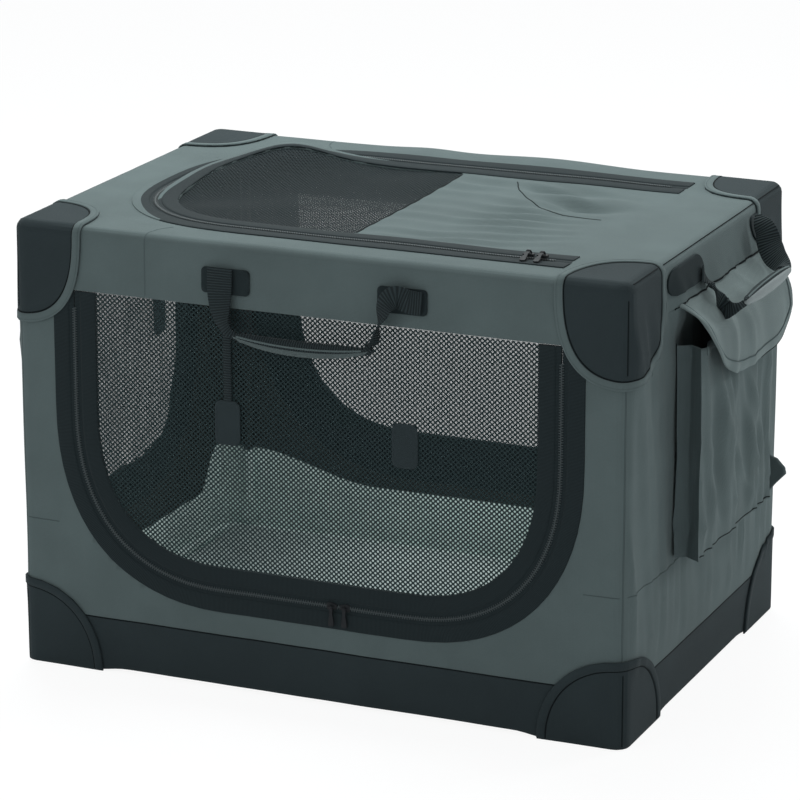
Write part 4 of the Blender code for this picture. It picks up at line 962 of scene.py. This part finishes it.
def flapPlace(s, t):
    power, cut = flapShape["near" if s < 0 else "far"]
    length = 1 - cut * (1 - math.sqrt(max(0.0, 1 - abs(s) ** power)))
    reach, fall = alongCurve(flapShape["profile"], t * length) / 1000
    y = s * flapShape["half"] * (1 - 0.03 * t)
    low = ease((t - 0.15) / 0.5)
    soft = 0.0042 * noiseAt(y * 17, t * 1.2, 11.0) + 0.002 * noiseAt(y * 40, t * 2.5, 3.0)
    pinch = sum(rise * math.exp(-((y - middle - lean * t) / wide) ** 2) * ease((t - start) / 0.2)
                for rise, middle, lean, wide, start in flapShape["pinches"])
    streak = 0.0016 * math.exp(-((y - 0.03 - 0.03 * t) / 0.006) ** 2) * ease(t / 0.15) * ease((0.6 - t) / 0.2)
    sag = -0.004 * (1 - (y / flapShape["half"]) ** 2) * ease(t / 0.3) * ease((0.8 - t) / 0.5)
    x, z = flapShape["root"]
    return Vector((x + reach + low * (soft + pinch), y, z + fall + sag + streak + low * soft * 0.5))


def flapNormal(s, t):
    along = flapPlace(s, min(t + 0.02, 1)) - flapPlace(s, max(t - 0.02, 0))
    across = flapPlace(min(s + 0.02, 0.998), t) - flapPlace(max(s - 0.02, -0.998), t)
    return across.cross(along).normalized() * -1


def flapPiece():
    bm = bmesh.new()
    columns, rows, half, hem = (flapShape[key] for key in ("columns", "rows", "half", "hem"))
    outer, inner = [], []
    for i in range(rows + 1):
        t = i / rows
        outer.append([])
        inner.append([])
        for j in range(columns + 1):
            s = 0.998 * (math.sin(math.pi / 2 * (2 * j / columns - 1)) * 0.35 + (2 * j / columns - 1) * 0.65)
            place, normal = flapPlace(s, t), flapNormal(s, t)
            edge = min((1 - abs(s)) * half, (1 - t) * flapShape["fall"])
            rise = 0.0007 * ease((hem + 0.0012 - edge) / 0.0012) - 0.0011 * ease((0.0025 - edge) / 0.0025)
            rise -= 0.0007 * math.exp(-((edge - hem - 0.0012) / 0.0012) ** 2)
            outer[i].append(bm.verts.new(place + normal * (flapShape["thick"] / 2 + rise)))
            inner[i].append(bm.verts.new(place - normal * flapShape["thick"] / 2))
    for i in range(rows):
        for j in range(columns):
            for side in (outer, inner):
                bm.faces.new((side[i][j], side[i][j + 1], side[i + 1][j + 1], side[i + 1][j]))
    rim = [(0, j) for j in range(columns)] + [(i, columns) for i in range(rows)]
    rim += [(rows, j) for j in range(columns, 0, -1)] + [(i, 0) for i in range(rows, 0, -1)]
    for (i, j), (m, n) in zip(rim, rim[1:] + rim[:1]):
        bm.faces.new((outer[i][j], outer[m][n], inner[m][n], inner[i][j]))
    return addPiece("flap", bm, [flapCloth], "flap", ["pocket_flap"], 60)


# A strip along a route of places on the flap, lifted off its middle
def flapStrip(name, route, lift, section, cloth, smooth=38):
    places = [flapPlace(s, t) + flapNormal(s, t) * lift for s, t in route]
    normals = [flapNormal(s, t) for s, t in route]
    return addPiece(name, sweptStrip(places, normals, section), [cloth], "flap", smooth=smooth)


flap = flapPiece()
inS, inT = 0.998 - flapShape["hem"] / flapShape["half"], 1 - flapShape["hem"] / flapShape["fall"]
route = [(-inS, t / 20) for t in range(1, 19)] + [(s / 20, inT) for s in range(-18, 19)]
route += [(inS, t / 20) for t in range(18, 0, -1)]
flapLine = flapStrip("flapSeam", route, 0.0013, strapSection(0.0013, 0.0003, 0.0008), gussetCloth)
route = [(s / 24, 1) for s in range(5, 24)] + [(0.998, t / 24) for t in range(24, 0, -1)]
flapEdge = flapStrip("flapPiping", route, 0, cordSection(flapShape["piping"]), seamShadeCloth, smooth=70)
squashTo("flap", flap, flapLine, flapEdge)
route = [(halfX, y / 100, shell["headerEnd"] + 0.0012) for y in range(-15, 16)]
seamLine("flapRootSeam", topTree, route, "top", width=0.0022)


# Handles: twisted webbing, sewn patches and padded grips
print("handles and straps")
handles = {
    "webThick": 0.0018, "tieThick": 0.0014, "fill": 0.8, "frontOut": 0.0048, "tieOut": 0.0026,
    "cord": 0.0011, "count": 40, "around": 16,
    "frontGrip": {"tall": 0.008, "deep": 0.0052, "up": (0, 0.35, 1)},
    "endGrip": {"tall": 0.0072, "deep": 0.0088, "up": (-0.95, 0, 0.32)},
}


# Each stop is a place, the way the webbing faces there and its width, in millimetres; y moves the whole run
def stopPlace(stop, y):
    return Vector(stop[0]) / 1000 + Vector((0, y, 0))


def webbingRun(name, stops, body, nodes=(), y=0.0, thick=handles["webThick"]):
    count = 8 * (len(stops) - 1)
    spots, faces, widths = ([alongCurve(column, k / count) for k in range(count + 1)] for column in (
        [stopPlace(stop, y) for stop in stops], [stop[1] for stop in stops], [(stop[2], 0) for stop in stops]))

    def section(share):
        half, low = widths[round(share * count)][0] / 2000, thick / 2
        upper = [(-half, low * 0.6), (-half * 0.94, low), (half * 0.94, low), (half, low * 0.6)]
        return [(-half, -low * 0.6)] + upper + [(half, -low * 0.6), (half * 0.94, -low), (-half * 0.94, -low)]

    bm = sweptStrip(spots, [face.normalized() for face in faces], section)
    return addPiece(name, bm, [webbing], body, nodes, smooth=50)


# A handle's webbing stays flat where it is sewn and turns over towards its grip
def handleWeb(name, stops, nodes=(), y=0.0):
    web = webbingRun(name, stops, None, nodes, y)
    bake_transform(web)


# A padded lens: dark webbing on its inner side, cloth on its outer side, piping between
def gripPiece(name, spots, cloth, body):
    shape, count, around = handles[name], handles["count"], handles["around"]
    spine = [alongCurve(spots, k / count) for k in range(count + 1)]

    def lens(k):
        along = (spine[min(k + 1, count)] - spine[max(k - 1, 0)]).normalized()
        side = along.cross(Vector(shape["up"])).normalized()
        return (1 - abs(2 * k / count - 1) ** 2.4) ** 0.62, side, side.cross(along)

    rows = []
    for k, place in enumerate(spine):
        swell, side, up = lens(k)
        ruck = 1 + 0.16 * math.sin(k * 2.7) * ease((abs(2 * k / count - 1) - 0.76) / 0.12)
        row = []
        for m in range(around):
            angle = 2 * math.pi * m / around
            row.append(place + side * ((shape["deep"] * swell + 0.0011) * math.cos(angle) * ruck)
                       + up * ((shape["tall"] * swell + 0.001) * math.sin(angle) * ruck))
        rows.append(row)
    bm = skin(rows, [k * 0.0042 for k in range(count + 1)], [m * 0.0024 for m in range(around + 1)],
              second=lambda i, m: m < around // 2 or m == around - 1)
    piece = addPiece(name, bm, [cloth, webbing], body, [body + "_grip"], 60)
    for flip, label in ((-1, "Piping"), (1, "PipingBack")):
        line, out = [], []
        for k in range(2, count - 1):
            swell, side, _ = lens(k)
            line.append(spine[k] + side * flip * (shape["deep"] * swell + 0.0014))
            out.append(side * flip)
        bm = sweptStrip(line, out, cordSection(handles["cord"]))
        addPiece(name + label, bm, [shellCloth], body, (), 70)


# How far each sewn patch sits from its solid
anchorShift = {
    "frontAnchorLeft": lambda y, z: (0, 0, 0),
    "frontAnchorRight": lambda y, z: (0.005, 0, 0),
    "endAnchorNear": lambda y, z: (0, -0.006, (0.527 - z) * 0.26 + 0.002),
    "endAnchorFar": lambda y, z: (0, 0.06 - (y - 0.09) * 0.45, (0.527 - z) * 0.26),
}
for nodeName, name in zip(("front_handle_anchor_left", "front_handle_anchor_right", "end_handle_anchor_front",
                           "end_handle_anchor_back"), anchorShift):
    bm = dice(cadMesh(nodeName), 0.006)
    for vert in bm.verts:
        vert.co += Vector(anchorShift[name](vert.co.y, vert.co.z))
    addPiece(name, settle(bm), [anchorCloth], "top", [nodeName])

front = -halfY - handles["frontOut"]
away, slant, faceOut = (0, -1, 0), (-0.65, -0.76, 0.05), (0.15, -1, 0.1)
stops = [((-112, -3, 512.5), away, 31), ((-112, -4, 497), away, 31), ((-111.2, -6, 480), away, 29),
         ((-108.5, -10, 463), away, 23), ((-104, -12, 450), (-0.2, -1, 0.1), 16),
         ((-96, -13, 441), (-0.3, -0.9, 0.5), 10), ((-85, -13, 436.5), (-0.2, -0.8, 0.6), 8)]
handleWeb("frontWebLeft", stops, ["front_handle_strap"], front)
stops = [((137, -3, 497), away, 27), ((122, -3.5, 498.5), away, 27), ((108, -7, 503), (-0.05, -1, 0.1), 26),
         ((97.5, -10, 496), (-0.3, -1, 0), 24), ((92.5, -11.5, 483), (-0.6, -0.8, 0), 22),
         ((88, -12, 469), (-0.95, -0.3, 0), 19), ((84, -13, 450), (-0.8, 0.2, -0.5), 15),
         ((74, -13, 437.5), (-0.3, -0.6, -0.7), 10), ((64, -13, 434.5), (0, -0.8, -0.6), 8)]
handleWeb("frontWebRight", stops, y=front)
spine = [(x, front - 0.013, 0.4385 - 0.0068 * (1 - ((x + 0.008) / 0.084) ** 2))
         for x in (-0.092, -0.064, -0.036, -0.008, 0.02, 0.048, 0.076)]
gripPiece("frontGrip", spine, gripCloth, "front_handle")
stops = [((396.5, -70, 510), (1, -0.1, 0.4), 22), ((399, -59.3, 499.9), (0.5, 0.4, 0.7), 20),
         ((405, -60, 493.5), (-0.1, -0.5, 0.9), 7), ((412, -66.8, 490.3), slant, 6),
         ((422, -79.8, 481.3), slant, 26), ((428, -81.3, 475.8), slant, 27), ((437, -84.4, 476.5), slant, 16),
         ((445, -83, 480), (-0.2, -0.9, 0.3), 9), ((449, -77, 482.5), (0.5, -0.5, 0.6), 8)]
handleWeb("endWebNear", stops, ["end_handle_strap"])
stops = [((395, 129, 533), (0.7, -0.7, 0.3), 8), ((401, 124, 526), (0.4, -1, 0.2), 20),
         ((408.8, 120, 515.6), faceOut, 27), ((414.5, 115, 502.8), faceOut, 30), ((424, 106, 492), faceOut, 30),
         ((436, 95, 486), (0.2, -0.9, 0.3), 23), ((448, 79, 485.5), (0.6, -0.4, 0.6), 11)]
handleWeb("endWebFar", stops)
spine = [(0.4505 + rise, y, 0.4845 + rise) for y, rise in (
    (y, 0.001 * (1 - (y / 0.082) ** 2)) for y in (-0.08, -0.053, -0.027, 0.0, 0.027, 0.053, 0.08))]
gripPiece("endGrip", spine, gripLight, "end_handle")


# A stitched tab with soft corners, turned this far about Z; layers give its rise and shrink
pads = {
    "wide": 0.032, "tall": 0.053, "corner": 0.0085, "steps": 5,
    "layers": ((0.0, 0.97), (0.25, 1.0), (0.75, 1.0), (1.0, 0.965), (1.12, 0.86), (0.92, 0.8), (1.05, 0.72)),
}


def padPiece(name, middle, thick, turn, body, nodes=()):
    wide, tall, corner, ring = pads["wide"], pads["tall"], pads["corner"], []
    for k, (sx, sz) in enumerate(((1, -1), (1, 1), (-1, 1), (-1, -1))):
        for step in range(pads["steps"] + 1):
            angle = math.pi / 2 * (k - 1 + step / pads["steps"])
            ring.append((sx * (wide / 2 - corner) + corner * math.cos(angle),
                         sz * (tall / 2 - corner) + corner * math.sin(angle)))
    move = Matrix.Translation(middle) @ Matrix.Rotation(math.radians(turn), 4, "Z")
    rows = [[move @ Vector((u * shrink, -thick * rise, v * (1 - (1 - shrink) * wide / tall))) for u, v in ring]
            for rise, shrink in pads["layers"]]
    runs, widths = [thick * k for k in range(len(rows))], girth(ring)
    return addPiece(name, skin(rows, runs, widths), [charcoalCloth], body, nodes, smooth=40)


tieY = -halfY - handles["tieOut"]
stops = [((-106, -1.2, z), away, 9.5) for z in (475, 450, 430, 400, 370, 350)]
squashTo("tie", webbingRun("tieWeb", stops, "strap", ["tie_strap"], tieY, handles["tieThick"]),
         padPiece("tiePad", (-0.1065, tieY - 0.0006, 0.329), 0.0017, 0, "strap"))
doorPad = padPiece("doorPad", (0.115, -halfY - 0.0028, 0.328), 0.0012, 0, "front_door", ["front_door_pad"])
endPad = padPiece("endPad", (-halfX + 0.003, 0.092, 0.34), 0.0012, 90, "left_door", ["left_door_pad"])
squashTo("side", doorPad)
squashTo("end", endPad)


# The tab low on the end wall
bm = dice(cadMesh("end_loop"), 0.006)
bmesh.ops.subdivide_edges(bm, edges=bm.edges[:], cuts=1, use_grid_fill=True, smooth=0.5)
squashTo("end", addPiece("endLoop", settle(bm), [gussetCloth], "base", ["end_loop"], smooth=50))


# The padded mat
print("mat")
matSize = {
    "half": (0.3575, 0.2435), "low": 0.0038, "thick": 0.0215, "cell": 0.0065, "cap": 0.006, "fill": 0.7,
    "inset": 0.006, "flatter": 0.007, "edge": 0.008, "pressure": 3.5, "frames": 14, "crown": 0.001,
}


def matPiece():
    bpy.ops.object.select_all(action="DESELECT")
    bpy.ops.mesh.primitive_cube_add(size=1)
    mat = bpy.context.active_object
    mat.name = "mat"
    halfWide, halfDeep = matSize["half"]
    low, thick = matSize["low"], matSize["thick"]
    bpy.ops.object.mode_set(mode="EDIT")
    bpy.ops.mesh.select_all(action="SELECT")
    span = (halfWide * 2 - matSize["inset"], halfDeep * 2 - matSize["inset"], thick - matSize["flatter"])
    bpy.ops.transform.resize(value=span)
    bpy.ops.transform.translate(value=(0, 0, low + thick / 2))
    bpy.ops.mesh.bevel(offset=matSize["edge"], segments=4, affect="EDGES")
    bpy.ops.object.mode_set(mode="OBJECT")
    remesh = mat.modifiers.new("even", "REMESH")
    remesh.mode = "VOXEL"
    remesh.voxel_size = matSize["cell"]
    bpy.ops.object.modifier_apply(modifier=remesh.name)
    before = [vert.co.copy() for vert in mat.data.vertices]
    cloth = mat.modifiers.new("cloth", "CLOTH")
    cloth.settings.use_pressure = True
    cloth.settings.uniform_pressure_force = matSize["pressure"]
    cloth.settings.effector_weights.gravity = 0
    cloth.point_cache.frame_start, cloth.point_cache.frame_end = 1, matSize["frames"]
    for step in range(1, matSize["frames"] + 1):
        bpy.context.scene.frame_set(step)
    bpy.ops.object.modifier_apply(modifier=cloth.name)
    bpy.context.scene.frame_set(1)
    lowest, highest = (-halfWide, -halfDeep, low), (halfWide, halfDeep, low + thick + matSize["crown"])
    for vert, old in zip(mat.data.vertices, before):
        step = vert.co - old
        if step.length > matSize["cap"]:
            step = step.normalized() * matSize["cap"]
        vert.co = [min(max(value, a), b) for value, a, b in zip(old + step, lowest, highest)]
    mat.data.materials.append(matCloth)
    bpy.ops.object.shade_smooth()
    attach(mat, "base")
    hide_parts("floor_mat")


matPiece()


# The area each sheet was cut to is measured, and the results are not kept
def cutArea(nodeName, axis):
    bm = cadMesh(nodeName)
    bm.normal_update()
    area = sum(face.calc_area() for face in bm.faces if abs(face.normal[axis]) > 0.9) / 2
    bm.free()
    return area


for wall, nodeName in ((rightWall, "right_wall"), (leftWall, "left_wall")):
    cutArea(nodeName, 0)
cutArea("roof_door_panel", 2)


# The front and left door zips' sliders and pulls are copied from their solids in zip metal, each on a body named
# for its zip
for nodeName in list(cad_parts):
    if nodeName.startswith(("front_", "left_door_")) and nodeName.endswith(("_slider", "_pull")):
        *words, last = nodeName.split("_")
        part = addPiece(camel(nodeName), cadMesh(nodeName), [zipMetal], "_".join(words + ["zip", last]),
                        [nodeName], 32)
        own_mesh(part)


# Frame, sliders and pulls keep their solids and take real finishes
for nodeName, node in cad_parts.items():
    finish = None
    if nodeName.startswith("lower_post") or nodeName == "base_frame":
        finish = liningCloth  # the lower tubes run in sleeves of the lining
    elif nodeName.endswith("_frame") or "post_" in nodeName:
        finish = frameSteel
    elif nodeName.endswith(("_slider", "_pull")):
        finish = zipMetal
    if finish:
        node.data.materials.clear()
        node.data.materials.append(finish)
